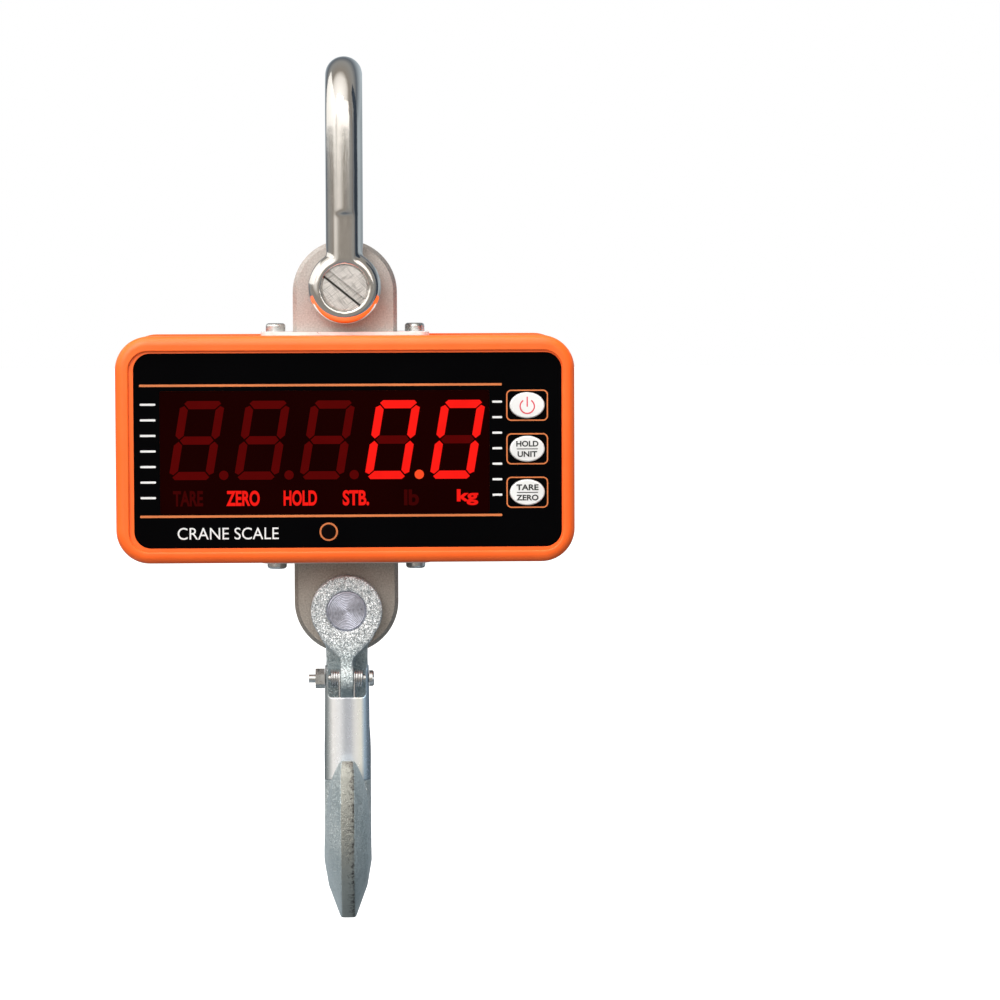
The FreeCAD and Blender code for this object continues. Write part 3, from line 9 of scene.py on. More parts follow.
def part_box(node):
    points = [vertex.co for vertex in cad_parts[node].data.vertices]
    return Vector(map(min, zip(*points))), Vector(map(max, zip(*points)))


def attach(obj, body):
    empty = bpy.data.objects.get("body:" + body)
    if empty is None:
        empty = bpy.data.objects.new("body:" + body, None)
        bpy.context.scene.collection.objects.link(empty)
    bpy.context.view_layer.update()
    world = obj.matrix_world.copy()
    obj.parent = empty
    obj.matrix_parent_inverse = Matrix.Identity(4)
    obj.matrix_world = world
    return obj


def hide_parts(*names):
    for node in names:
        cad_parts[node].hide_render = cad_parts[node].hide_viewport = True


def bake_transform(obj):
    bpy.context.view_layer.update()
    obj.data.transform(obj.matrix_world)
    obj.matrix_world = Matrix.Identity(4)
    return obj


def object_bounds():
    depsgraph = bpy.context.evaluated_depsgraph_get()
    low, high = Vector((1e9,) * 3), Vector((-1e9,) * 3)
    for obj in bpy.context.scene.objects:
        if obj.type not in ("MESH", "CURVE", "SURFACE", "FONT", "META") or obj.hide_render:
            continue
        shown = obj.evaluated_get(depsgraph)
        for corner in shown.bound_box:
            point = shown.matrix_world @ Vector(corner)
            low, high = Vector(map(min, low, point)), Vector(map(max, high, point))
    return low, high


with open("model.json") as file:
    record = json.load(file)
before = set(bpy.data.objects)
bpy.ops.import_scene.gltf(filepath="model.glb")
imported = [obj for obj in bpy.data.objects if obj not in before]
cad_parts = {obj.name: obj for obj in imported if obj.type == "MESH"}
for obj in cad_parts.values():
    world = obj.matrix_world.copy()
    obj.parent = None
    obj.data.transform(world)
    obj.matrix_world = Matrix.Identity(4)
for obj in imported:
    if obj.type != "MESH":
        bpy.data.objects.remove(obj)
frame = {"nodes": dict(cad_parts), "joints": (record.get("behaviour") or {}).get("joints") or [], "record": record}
cad_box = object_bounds()


# ---------------------------------------------------------------- places taken from the frame
def front_centre(node):
    """Middle of the front of a CAD node's box."""
    low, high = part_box(node)
    return (low[0] + high[0]) / 2, low[1], (low[2] + high[2]) / 2


MM = 0.001
PANEL_X, FACE_Y, _ = front_centre("front_panel")   # its middle and its front face
CASE_Z = front_centre("front_bezel")[2]      # middle of the case
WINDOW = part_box("display_window")
KEY_NAMES = ["power_key", "hold_key", "tare_key"]
INK = 0.06 * MM                              # thickness of printed ink
JOINTS = {joint["name"]: joint for joint in frame["joints"]}


# ---------------------------------------------------------------- node material kit
def new_material(name, colour, rough, metallic=0.0, **sockets):
    """A Principled material; constant values go straight onto the shader's sockets."""
    material = bpy.data.materials.new(name)
    material.use_nodes = True
    shader = material.node_tree.nodes["Principled BSDF"]
    shader.inputs["Base Color"].default_value = (*colour, 1.0)
    shader.inputs["Roughness"].default_value = rough
    shader.inputs["Metallic"].default_value = metallic
    for socket, value in sockets.items():
        shader.inputs[socket.replace("_", " ")].default_value = value
    return material


def add_node(material, kind, **settings):
    """A new node; each setting goes to the input of that name, or else to the node itself."""
    node = material.node_tree.nodes.new(kind)
    for name, value in settings.items():
        socket = name.replace("_", " ")
        if socket in node.inputs:
            node.inputs[socket].default_value = value
        else:
            setattr(node, name, value)
    return node


def link(material, source, target):
    material.node_tree.links.new(source, target)


def shader_of(material):
    return material.node_tree.nodes["Principled BSDF"]


def coordinates(material, stretch=(1, 1, 1)):
    """Object coordinates, stretched along the axes for brushed or drawn surfaces."""
    texture = add_node(material, "ShaderNodeTexCoord")
    mapping = add_node(material, "ShaderNodeMapping", Scale=stretch)
    link(material, texture.outputs["Object"], mapping.inputs["Vector"])
    return mapping.outputs["Vector"]


def axes(material, vector=None):
    """The X, Y and Z of a vector, or of the object coordinates when none is given."""
    node = add_node(material, "ShaderNodeSeparateXYZ")
    link(material, coordinates(material) if vector is None else vector, node.inputs["Vector"])
    return node.outputs


def noise(material, scale, detail=4.0, rough=0.55, stretch=(1, 1, 1)):
    node = add_node(material, "ShaderNodeTexNoise", Scale=scale, Detail=detail, Roughness=rough)
    link(material, coordinates(material, stretch), node.inputs["Vector"])
    return node.outputs["Fac"]


def colour_bands(tree, source, stops):
    """A colour ramp with any number of (place, colour) stops."""
    node = tree.nodes.new("ShaderNodeValToRGB")
    elements = node.color_ramp.elements
    while len(elements) < len(stops):
        elements.new(0.5)
    for element, (place, colour) in zip(elements, stops):
        element.position = place
        element.color = (*colour, 1.0)
    tree.links.new(source, node.inputs["Fac"])
    return node.outputs["Color"]


def ramp(material, source, low, high, places=(0.35, 0.65)):
    """Maps a texture to the greys or colours between low and high."""
    tones = [tone if isinstance(tone, tuple) else (tone, tone, tone) for tone in (low, high)]
    return colour_bands(material.node_tree, source, list(zip(places, tones)))


def vary_colour(material, source, low, high, places=(0.35, 0.65)):
    link(material, ramp(material, source, low, high, places), shader_of(material).inputs["Base Color"])


def vary_roughness(material, source, low, high, places=(0.3, 0.7)):
    link(material, ramp(material, source, low, high, places), shader_of(material).inputs["Roughness"])


def add_bump(material, sources, distance, strength=1.0):
    """Stacks one bump node per source, each half as deep as the one before."""
    normal = None
    for source in sources:
        bump = add_node(material, "ShaderNodeBump", Distance=distance, Strength=strength)
        link(material, source, bump.inputs["Height"])
        if normal is not None:
            link(material, normal, bump.inputs["Normal"])
        normal = bump.outputs["Normal"]
        distance = distance / 2
    link(material, normal, shader_of(material).inputs["Normal"])


def shade(colour, share):
    return tuple(part * share for part in colour)


# ---------------------------------------------------------------- materials
def orange_paint():
    """Satin powder coat: fine orange peel and faint tone variation."""
    material = new_material("orange_paint", (1.0, 0.155, 0.022), 0.36, Specular_IOR_Level=0.4)
    vary_colour(material, noise(material, 45, 3), (0.97, 0.128, 0.013), (0.99, 0.142, 0.016))
    vary_roughness(material, noise(material, 300, 3), 0.32, 0.44)
    add_bump(material, [noise(material, 900, 2), noise(material, 2600, 2)], 0.00003, 0.5)
    return material


def polished_steel():
    """Polished stainless steel with hairline scratches and a faint cast waviness."""
    colour = (0.84, 0.82, 0.79)
    material = new_material("stainless", colour, 0.05, 1.0)
    scratches = noise(material, 260, 6, 0.7, (6, 6, 0.5))
    vary_roughness(material, scratches, 0.05, 0.15)
    vary_colour(material, noise(material, 60, 3), shade(colour, 0.92), colour)
    add_bump(material, [noise(material, 90, 2), scratches], 0.00006, 0.4)
    return material


def centred_coordinates(material, centre, turn=0.0):
    """Object coordinates measured from a centre, turned about the Y axis by an angle in degrees."""
    texture = add_node(material, "ShaderNodeTexCoord")
    move = add_node(material, "ShaderNodeVectorMath", operation="SUBTRACT")
    move.inputs[1].default_value = centre
    link(material, texture.outputs["Object"], move.inputs[0])
    spin = add_node(material, "ShaderNodeVectorRotate", rotation_type="Y_AXIS", Angle=math.radians(turn))
    link(material, move.outputs["Vector"], spin.inputs["Vector"])
    return spin.outputs["Vector"]


def maths(material, operation, first, second=None):
    """One arithmetic step on sockets or plain numbers."""
    node = add_node(material, "ShaderNodeMath", operation=operation)
    for socket, value in zip(node.inputs, (first, second)):
        if isinstance(value, (int, float)):
            socket.default_value = value
        elif value is not None:
            link(material, value, socket)
    return node.outputs["Value"]


def emery_strokes(material, centre, turn):
    """Fine parallel strokes across a pin head, at an angle in degrees."""
    strokes = add_node(material, "ShaderNodeTexNoise", Scale=1.0, Detail=5.0)
    stretch = add_node(material, "ShaderNodeVectorMath", operation="MULTIPLY")
    stretch.inputs[1].default_value = (160, 400, 2200)
    link(material, centred_coordinates(material, centre, turn), stretch.inputs[0])
    link(material, stretch.outputs["Vector"], strokes.inputs["Vector"])
    return strokes.outputs["Fac"]


def scratched_head(name, node, colour):
    """Pin head rubbed with emery in two directions, with painted shadow as a dark line along one edge of its
    screwdriver slot.
    """
    centre = front_centre(node)
    slot_turn, slot_edge_mm, head_depth = -39, 1.7, 4 * MM
    material = new_material(name, colour, 0.34, 0.9)
    sources = [emery_strokes(material, centre, turn) for turn in (35, -50)]
    rubbed = maths(material, "MINIMUM", *sources)
    place = axes(material, centred_coordinates(material, centre, slot_turn))
    rise_mm = maths(material, "MULTIPLY", place["Z"], 1 / MM)
    from_edge = maths(material, "ABSOLUTE", maths(material, "ADD", rise_mm, slot_edge_mm))
    behind_head = maths(material, "GREATER_THAN", place["Y"], head_depth)
    # painted shadow: darkens the colour along one wall of the slot, on the head's front only
    painted_slot_shadow = ramp(material, maths(material, "ADD", from_edge, behind_head), 0.06, 1.0, (0.25, 0.6))
    worn = ramp(material, rubbed, shade(colour, 0.62), colour, (0.36, 0.5))
    tone = add_node(material, "ShaderNodeMix", data_type="RGBA", blend_type="MULTIPLY")
    tone.inputs["Factor"].default_value = 1.0
    link(material, worn, tone.inputs["A"])
    link(material, painted_slot_shadow, tone.inputs["B"])
    link(material, tone.outputs["Result"], shader_of(material).inputs["Base Color"])
    vary_roughness(material, rubbed, 0.28, 0.46)
    add_bump(material, sources, 0.00008, 0.8)
    return material


def turned_end(name, node, colour):
    """Pin end faced on a lathe: fine rings round its axis under blue-violet passivated zinc."""
    material = new_material(name, colour, 0.3, 0.9)
    rings = add_node(material, "ShaderNodeTexWave", wave_type="RINGS", rings_direction="Y",
                     Scale=520.0, Distortion=1.2, Detail=3.0)
    link(material, centred_coordinates(material, front_centre(node)), rings.inputs["Vector"])
    mottle = noise(material, 900, 4, 0.7)
    vary_colour(material, mottle, shade(colour, 0.7), colour)
    vary_roughness(material, mottle, 0.26, 0.42)
    add_bump(material, [rings.outputs["Fac"], mottle], 0.00012, 0.9)
    return material


def blend_by_height(material, below, above, low_z, high_z):
    """Base colour that passes from one tone to another between two heights."""
    height = add_node(material, "ShaderNodeMapRange", From_Min=low_z, From_Max=high_z)
    link(material, axes(material)["Z"], height.inputs["Value"])
    tone = add_node(material, "ShaderNodeMix", data_type="RGBA")
    link(material, height.outputs["Result"], tone.inputs["Factor"])
    link(material, below, tone.inputs["A"])
    link(material, above, tone.inputs["B"])
    link(material, tone.outputs["Result"], shader_of(material).inputs["Base Color"])


def load_cell_metal():
    """Sanded aluminium, pale and pinkish above the case; below it painted shade makes the tone darker and browner,
    for the shade the case casts on the lower lug.
    """
    material = new_material("cell_metal", (0.50, 0.46, 0.43), 0.5, 0.85)
    grain = noise(material, 1500, 4, 0.7)
    above = ramp(material, grain, (0.43, 0.395, 0.37), (0.62, 0.58, 0.55))
    # painted shade: the darker tones used below the case
    below = ramp(material, grain, (0.35, 0.31, 0.27), (0.58, 0.53, 0.48))
    blend_by_height(material, below, above, CASE_Z - 5 * MM, CASE_Z + 5 * MM)
    vary_roughness(material, grain, 0.44, 0.6)
    add_bump(material, [grain, noise(material, 420, 4)], 0.00012, 0.8)
    return material


def add_facets(material, grain, tilt):
    """Tilts each tiny cell of the surface its own way, as crystals of zinc or blasted metal do."""
    cells = add_node(material, "ShaderNodeTexVoronoi", Scale=grain)
    link(material, coordinates(material), cells.inputs["Vector"])
    centred = add_node(material, "ShaderNodeVectorMath", operation="SUBTRACT")
    centred.inputs[1].default_value = (0.5, 0.5, 0.5)
    link(material, cells.outputs["Color"], centred.inputs[0])
    lean = add_node(material, "ShaderNodeVectorMath", operation="SCALE")
    lean.inputs["Scale"].default_value = tilt
    link(material, centred.outputs["Vector"], lean.inputs[0])
    normal = shader_of(material).inputs["Normal"]
    added = add_node(material, "ShaderNodeVectorMath", operation="ADD")
    link(material, normal.links[0].from_socket, added.inputs[0])
    link(material, lean.outputs["Vector"], added.inputs[1])
    unit = add_node(material, "ShaderNodeVectorMath", operation="NORMALIZE")
    link(material, added.outputs["Vector"], unit.inputs[0])
    link(material, unit.outputs["Vector"], normal)


def zinc_forged():
    """Zinc over a forged surface: a fork above, flecked with painted glints of near-white, over a duller blue-grey
    bowl.
    """
    material = new_material("zinc_forged", (0.70, 0.74, 0.75), 0.3, 0.55)
    grain = noise(material, 2600, 3, 0.7)
    patches = noise(material, 45, 4, 0.6)
    painted_glints = noise(material, 2300, 2, 0.6)
    bowl = ramp(material, patches, (0.47, 0.55, 0.57), (0.66, 0.73, 0.74))
    # painted glints: fine specks ramp the fork's colour up to near white
    fork = ramp(material, painted_glints, (0.34, 0.37, 0.38), (0.95, 0.98, 1.0), (0.40, 0.58))
    top_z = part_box("hook_body")[1][2]
    blend_by_height(material, bowl, fork, top_z - 34 * MM, top_z - 24 * MM)
    vary_roughness(material, grain, 0.24, 0.42)
    add_bump(material, [grain], 0.00005, 0.8)
    add_facets(material, 3000, 0.9)
    return material


def ground_ridge():
    """The hook's parting line, ground flat: coarse dull scratches, and pits towards +X."""
    material = new_material("ground_ridge", (0.50, 0.48, 0.44), 0.42, 1.0)
    pits = noise(material, 700, 6, 0.75)
    pitted_width = 22 * MM
    towards_right = maths(material, "MULTIPLY", axes(material)["X"], 1 / pitted_width)
    worn = maths(material, "SUBTRACT", pits, towards_right)
    vary_colour(material, worn, (0.13, 0.125, 0.12), (0.50, 0.51, 0.47), (0.32, 0.46))
    vary_roughness(material, noise(material, 900, 3), 0.3, 0.55)
    add_bump(material, [pits, noise(material, 1800, 3)], 0.0004, 0.9)
    return material


def zinc_plate(name, colour, rough=0.28, metal=1.0):
    """Plated or plain metal on small hardware and plates, bright zinc unless told otherwise."""
    material = new_material(name, colour, rough, metal)
    mottle = noise(material, 420, 5, 0.6)
    vary_colour(material, noise(material, 120, 3), shade(colour, 0.86), colour)
    vary_roughness(material, mottle, rough - 0.08, rough + 0.12)
    add_bump(material, [mottle], 0.00004, 0.5)
    return material


def sheet_with_painted_reflections():
    """Bright zinc on the pressed latch, with painted reflections: light and dark bands across its width stand in
    for the light and shade its curved web and bent sides would reflect.
    """
    material = new_material("zinc_sheet", (0.9, 0.93, 0.95), 0.24, 0.5)
    latch_width = 18 * MM
    across = maths(material, "MULTIPLY", axes(material)["X"], 1 / latch_width)
    # painted reflections: white bands where the web would catch light, dark and blue-grey at the bent sides where
    # it turns away
    stops = [(0.0, (0.16, 0.19, 0.21)), (0.09, (0.36, 0.40, 0.41)), (0.19, (1.0, 1.0, 1.0)),
             (0.33, (0.95, 0.97, 1.0)), (0.47, (0.58, 0.61, 0.66)), (0.57, (0.62, 0.65, 0.71)),
             (0.69, (0.98, 0.98, 0.96)), (0.80, (1.0, 1.0, 0.92)), (0.87, (0.42, 0.56, 0.70)),
             (1.0, (0.16, 0.20, 0.24))]
    tones = colour_bands(material.node_tree, maths(material, "ADD", across, 0.5), stops)
    link(material, tones, shader_of(material).inputs["Base Color"])
    mottle = noise(material, 420, 5, 0.6)
    vary_roughness(material, mottle, 0.2, 0.3)
    add_bump(material, [mottle], 0.00001, 0.4)
    return material


def smooth_plastic(name, colour, rough, bump=0.00001, scale=900, specular=0.5):
    """Moulded plastic, film or ink with a very fine surface."""
    material = new_material(name, colour, rough, Specular_IOR_Level=specular)
    texture = noise(material, scale, 3)
    vary_colour(material, noise(material, 35, 2), shade(colour, 0.85), colour)
    vary_roughness(material, texture, max(0.02, rough - 0.05), rough + 0.06)
    add_bump(material, [texture], bump, 0.5)
    return material


def glowing(name, colour, base):
    """A display element behind a red film, lit or dark, slightly uneven; the dark ones get a faint painted glow
    for the room light on their unlit segments.
    """
    material = new_material(name, base, 0.35, Specular_IOR_Level=0.02, Emission_Strength=1.0)
    tone = ramp(material, noise(material, 160, 2), shade(colour, 0.9), colour)
    link(material, tone, shader_of(material).inputs["Emission Color"])
    return material


DARK = (0.02, 0.02, 0.022)
PLATED = {                                   # colour, roughness, metal
    "zinc_hardware": ((0.78, 0.79, 0.78),),
    "spring_steel": ((0.74, 0.74, 0.74), 0.24),
    "plate_aluminium": ((0.96, 0.95, 0.94), 0.34, 0.35),
    "black_steel": ((0.05, 0.05, 0.05), 0.4),
    "brass_pillars": ((0.78, 0.58, 0.25), 0.25),
}
PLASTICS = {                                 # colour, roughness, bump, grain scale
    "gauge_foil": ((0.75, 0.5, 0.15), 0.4),
    "black_rubber": (DARK, 0.65, 0.00004, 600),
    "key_white": ((0.80, 0.80, 0.79), 0.42, 0.00001, 1500),
    "board_green": ((0.015, 0.14, 0.05), 0.35),
    "switch_plastic": (DARK, 0.45),
    "led_plastic": ((0.05, 0.05, 0.05), 0.5),
    "battery_wrap": ((0.02, 0.09, 0.3), 0.3),
    "foam": ((0.05, 0.05, 0.05), 0.9, 0.0003, 400),
    "door_black": (DARK, 0.5, 0.00005, 1400),
    "jack_plastic": (DARK, 0.38),
    "cable_grey": ((0.33, 0.33, 0.34), 0.5),
    "cable_red": ((0.42, 0.02, 0.02), 0.45),
    "ink_orange": ((0.66, 0.18, 0.047), 0.4),
    "ink_white": ((0.80, 0.80, 0.80), 0.4),
    "ink_grey": ((0.02, 0.02, 0.02), 0.5),
    "ink_red": ((0.72, 0.06, 0.09), 0.45),
}
FILMS = {                                    # colour, roughness, specular
    "panel_black": ((0.0014, 0.0014, 0.0017), 0.2, 0.015),
    "window_red": ((0.0085, 0.0003, 0.0002), 0.18, 0.01),
    "lens_dark": ((0.004, 0.002, 0.002), 0.12, 0.06),
}
DISPLAY_ELEMENTS = {                         # glow, colour of its surface
    "led_on": ((1.0, 0.012, 0.008), (0.05, 0.0, 0.0)),
    "led_dot_on": ((1.0, 0.08, 0.02), (0.05, 0.0, 0.0)),
    # led_off and led_faint are unlit: their faint glow is painted light, not a lit segment
    "led_off": ((0.085, 0.0008, 0.0008), (0.01, 0.0, 0.0)),
    "led_faint": ((0.038, 0.0006, 0.0006), (0.008, 0.0, 0.0)),
    "label_on": ((0.92, 0.012, 0.008), (0.05, 0.0, 0.0)),
}


def make_materials():
    """All materials by name; most names are the CAD nodes' slots."""
    made = {
        "stainless": polished_steel(),
        "pin_steel": scratched_head("pin_steel", "shackle_pin", (0.82, 0.79, 0.76)),
        "turned_end": turned_end("turned_end", "clevis_pin", (0.66, 0.67, 0.78)),
        "zinc_forged": zinc_forged(),
        "ground_ridge": ground_ridge(),
        "zinc_sheet": sheet_with_painted_reflections(),
        "cell_metal": load_cell_metal(),
        "orange_paint": orange_paint(),
    }
    for name, look in PLATED.items():
        made[name] = zinc_plate(name, *look)
    for name, look in PLASTICS.items():
        made[name] = smooth_plastic(name, *look)
    for name, (colour, rough, specular) in FILMS.items():
        made[name] = smooth_plastic(name, colour, rough, specular=specular)
    for name, (glow, base) in DISPLAY_ELEMENTS.items():
        made[name] = glowing(name, glow, base)
    return made


MATERIALS = make_materials()


def paint_cad_nodes():
    """Every carried-over node takes the finished version of its own slot."""
    slot_of = {item["node"]: item["material_slot"] for item in frame["record"]["subparts"]}
    for node, piece in frame["nodes"].items():
        material = MATERIALS["turned_end" if node == "clevis_pin" else slot_of[node]]
        if not piece.data.materials:
            piece.data.materials.append(material)
        for slot in piece.material_slots:
            slot.material = material


# ---------------------------------------------------------------- mesh kit
def add_object(name, data):
    """Puts mesh, curve, light or camera data into the scene as an object."""
    made = bpy.data.objects.new(name, data)
    bpy.context.scene.collection.objects.link(made)
    return made


def mesh_piece(name, mesh, body, slot, material=None):
    piece = add_object(name, mesh)
    piece.data.materials.clear()
    piece.data.materials.append(MATERIALS[material or slot])
    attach(piece, body)
    return piece


def bmesh_piece(name, work, body, slot, material):
    mesh = bpy.data.meshes.new(name)
    bmesh.ops.recalc_face_normals(work, faces=work.faces)
    work.to_mesh(mesh)
    work.free()
    mesh_piece(name, mesh, body, slot, material)


def mesh_of_curve(curve):
    """Turns a curve into a mesh and deletes the curve."""
    holder = add_object(curve.name, curve)
    bpy.context.view_layer.update()
    mesh = bpy.data.meshes.new_from_object(holder)
    bpy.data.objects.remove(holder)
    bpy.data.curves.remove(curve)
    return mesh


def add_slab(work, outline, back_y, thickness):
    """Adds a flat shape: an outline of (x, z) points from back_y forward by a thickness."""
    back = [work.verts.new((x, back_y, z)) for x, z in outline]
    front = [work.verts.new((x, back_y - thickness, z)) for x, z in outline]
    work.faces.new(back)
    work.faces.new(front[::-1])
    count = len(outline)
    for index in range(count):
        follow = (index + 1) % count
        work.faces.new((back[index], front[index], front[follow], back[follow]))


def add_ring_slab(work, outer, inner, back_y, thickness):
    """Adds a flat ring between two outlines with the same number of points."""
    rows = []
    for outline in (outer, inner):
        for y in (back_y, back_y - thickness):
            rows.append([work.verts.new((x, y, z)) for x, z in outline])
    outer_back, outer_front, inner_back, inner_front = rows
    loops = [(outer_back, outer_front), (outer_front, inner_front), (inner_front, inner_back),
             (inner_back, outer_back)]
    count = len(outer)
    for first, second in loops:
        for index in range(count):
            follow = (index + 1) % count
            work.faces.new((first[index], second[index], second[follow], first[follow]))


def round_outline(x, z, width, height, radius, steps=8):
    """Outline of a rectangle with round corners."""
    points = []
    corner_turns = [(1, 1, 0), (-1, 1, 90), (-1, -1, 180), (1, -1, 270)]
    for sx, sz, start in corner_turns:
        cx, cz = x + sx * (width / 2 - radius), z + sz * (height / 2 - radius)
        for step in range(steps + 1):
            turn = math.radians(start + 90 * step / steps)
            points.append((cx + radius * math.cos(turn), cz + radius * math.sin(turn)))
    return points


def circle_outline(x, z, radius, steps=48):
    turns = [2 * math.pi * step / steps for step in range(steps)]
    return [(x + radius * math.cos(turn), z + radius * math.sin(turn)) for turn in turns]


# ---------------------------------------------------------------- printing on the panel
def print_on_panel(name, work, ink):
    bmesh_piece(name, work, "scale", "panel_black", ink)


def print_rules():
    """An orange rule above and one below the window."""
    rules = bmesh.new()
    low, high = WINDOW
    left, right = low[0] - 7.8 * MM, high[0] + 4.9 * MM
    above, below = high[2] + 2.2 * MM, low[2] - 0.9 * MM
    thick, corner = 0.9 * MM, 0.3 * MM
    for z in (above, below):
        outline = round_outline((left + right) / 2, z, right - left, thick, corner, 3)
        add_slab(rules, outline, FACE_Y, INK)
    print_on_panel("printed_rules", rules, "ink_orange")


def print_ticks():
    """A column of white ticks on each side of the window."""
    ticks = bmesh.new()
    low, high = WINDOW
    count, pitch, thick, corner = 7, 6.01 * MM, 0.82 * MM, 0.3 * MM
    top = high[2] - 5.1 * MM
    columns = [(low[0] - 4.6 * MM, 6.0 * MM, top), (high[0] + 3.1 * MM, 3.8 * MM, top + 0.6 * MM)]
    for x, width, start in columns:
        for index in range(count):
            outline = round_outline(x, start - index * pitch, width, thick, corner, 3)
            add_slab(ticks, outline, FACE_Y, INK)
    print_on_panel("printed_ticks", ticks, "ink_white")


def print_key_frames():
    """A thin orange frame round each key."""
    frames = bmesh.new()
    line = 0.5 * MM
    width, height, radius = 16.2 * MM, 12.1 * MM, 2.0 * MM
    for key in KEY_NAMES:
        x, _, z = front_centre(key)
        outer = round_outline(x, z, width, height, radius)
        inner = round_outline(x, z, width - 2 * line, height - 2 * line, radius - line)
        add_ring_slab(frames, outer, inner, FACE_Y, INK)
    print_on_panel("printed_key_frames", frames, "ink_orange")


def print_lens_ring():
    """An orange ring round the infrared lens."""
    ring = bmesh.new()
    x, _, z = front_centre("infrared_lens")
    lens_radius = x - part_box("infrared_lens")[0][0]
    gap, line = 0.1 * MM, 0.65 * MM
    outer = circle_outline(x, z, lens_radius + gap + line)
    inner = circle_outline(x, z, lens_radius + gap)
    add_ring_slab(ring, outer, inner, FACE_Y, INK)
    print_on_panel("printed_lens_ring", ring, "ink_orange")


# ---------------------------------------------------------------- lettering
def letter_mesh(text, width, height, embolden):
    """Letters one layer of ink thick, facing -Y, centred and scaled to a width and a height."""
    curve = bpy.data.curves.new("letters", "FONT")
    curve.body = text
    curve.align_x = "CENTER"
    curve.extrude = 0.5
    curve.offset = embolden
    curve.resolution_u = 6
    mesh = mesh_of_curve(curve)
    xs = [vertex.co.x for vertex in mesh.vertices]
    ys = [vertex.co.y for vertex in mesh.vertices]
    widen, grow = width / (max(xs) - min(xs)), height / (max(ys) - min(ys))
    middle_x, middle_y = (max(xs) + min(xs)) / 2, (max(ys) + min(ys)) / 2
    for vertex in mesh.vertices:
        x, y, z = vertex.co
        vertex.co = ((x - middle_x) * widen, -(z + 0.5) * INK, (y - middle_y) * grow)
    return mesh


def add_lettering(name, text, x, z, width, height, body, slot, material, face_y=FACE_Y, embolden=0.0):
    mesh = letter_mesh(text, width, height, embolden)
    mesh.transform(Matrix.Translation((x, face_y, z)))
    mesh_piece(name, mesh, body, slot, material)


def print_title():
    """Generic title in the lower left of the panel."""
    x, z = -45.5 * MM, CASE_Z - 32.3 * MM
    width, height = 39.0 * MM, 4.6 * MM
    add_lettering("panel_title", "CRANE SCALE", x, z, width, height, "scale", "panel_black", "ink_white")


# ---------------------------------------------------------------- display
DIGIT_HEIGHT = 30.5 * MM
DIGIT_WIDTH = 17.0 * MM
BAR = 3.15 * MM                              # a segment's width
SLANT = math.tan(math.radians(9.6))


def segment_end(kind):
    """One end of a segment as (inward, outward) steps from where two centre lines meet.

    A level bar ends flat at a corner, an upright bar ends tall there, and both end in a point at mid height.
    """
    half = BAR / 2
    gap, point_gap = 0.36 * MM, 0.45 * MM
    point_slope = point_gap + 0.9 * half
    ends = {
        "flat": [(half + gap, -half), (gap - 0.34 * half, 0.34 * half), (gap + 0.32 * half, half)],
        "tall": [(half + gap, -half), (gap, 0.0), (gap + 0.5 * half, half)],
        "point": [(point_slope, -half), (point_gap, 0.0), (point_slope, half)],
    }
    return ends[kind]


def segment_outlines():
    """The seven bars of a digit centred on the origin, before slanting."""
    right = DIGIT_WIDTH / 2 - BAR / 2
    top = DIGIT_HEIGHT / 2 - BAR / 2
    bars = {                                 # first end, last end, outward direction, kinds of end
        "a": ((-right, top), (right, top), (0, 1), "flat", "flat"),
        "b": ((right, top), (right, 0), (1, 0), "tall", "point"),
        "c": ((right, -top), (right, 0), (1, 0), "tall", "point"),
        "d": ((-right, -top), (right, -top), (0, -1), "flat", "flat"),
        "e": ((-right, -top), (-right, 0), (-1, 0), "tall", "point"),
        "f": ((-right, top), (-right, 0), (-1, 0), "tall", "point"),
        "g": ((-right, 0), (right, 0), (0, 1), "point", "point"),
    }
    outlines = {}
    for name, (first, last, (out_x, out_z), first_end, last_end) in bars.items():
        length = math.hypot(last[0] - first[0], last[1] - first[1])
        along_x, along_z = (last[0] - first[0]) / length, (last[1] - first[1]) / length
        points = []
        for (x, z), way, kind in ((first, 1, first_end), (last, -1, last_end)):
            for inward, outward in segment_end(kind)[::way]:
                points.append((x + way * inward * along_x + outward * out_x,
                               z + way * inward * along_z + outward * out_z))
        outlines[name] = points
    return outlines


def slanted(outline, x, z):
    """Leans an outline to the right and moves it to its place."""
    return [(x + right + up * SLANT, z + up) for right, up in outline]


def make_digits():
    """Five slanted digits and four points; the last two digits show zeros and the rest are dark."""
    segments = segment_outlines()
    digit_z = CASE_Z + 3.75 * MM
    point_right, point_z, point_radius = 10.3 * MM, digit_z - DIGIT_HEIGHT / 2 + 1.75 * MM, 1.8 * MM
    lit, dim, points_lit = bmesh.new(), bmesh.new(), bmesh.new()
    digit_places = [front_centre(f"led_digit_{index + 1}")[0] + PANEL_X for index in range(5)]
    for index, x in enumerate(digit_places):
        for name, outline in segments.items():
            target = lit if index >= 3 and name != "g" else dim
            add_slab(target, slanted(outline, x, digit_z), FACE_Y, INK)
    bmesh_piece("digits_lit", lit, "scale", "window_red", "led_on")
    for index, x in enumerate(digit_places[:-1]):
        outline = circle_outline(x + point_right, point_z, point_radius)
        add_slab(points_lit if index == 3 else dim, outline, FACE_Y, INK)
    bmesh_piece("digits_dark", dim, "scale", "window_red", "led_off")
    bmesh_piece("decimal_point_lit", points_lit, "scale", "window_red", "led_dot_on")


def make_annunciators():
    """Row of function words below the digits, over the light bar."""
    z = front_centre("status_light_bar")[2]
    # word, place along X, width, height, material
    words = [("TARE", -60.9, 11.6, 6.0, "led_faint"), ("ZERO", -39.7, 12.9, 6.0, "label_on"),
             ("HOLD", -17.6, 12.9, 6.0, "label_on"), ("STB.", 3.9, 10.2, 6.0, "label_on"),
             ("lb", 25.4, 5.8, 6.2, "led_faint"), ("kg", 47.1, 8.3, 6.2, "label_on")]
    for index, (word, x, width, height, material) in enumerate(words):
        add_lettering(f"annunciator_{index + 1}", word, x * MM, z, width * MM, height * MM,
                      "scale", "window_red", material, embolden=0.035)


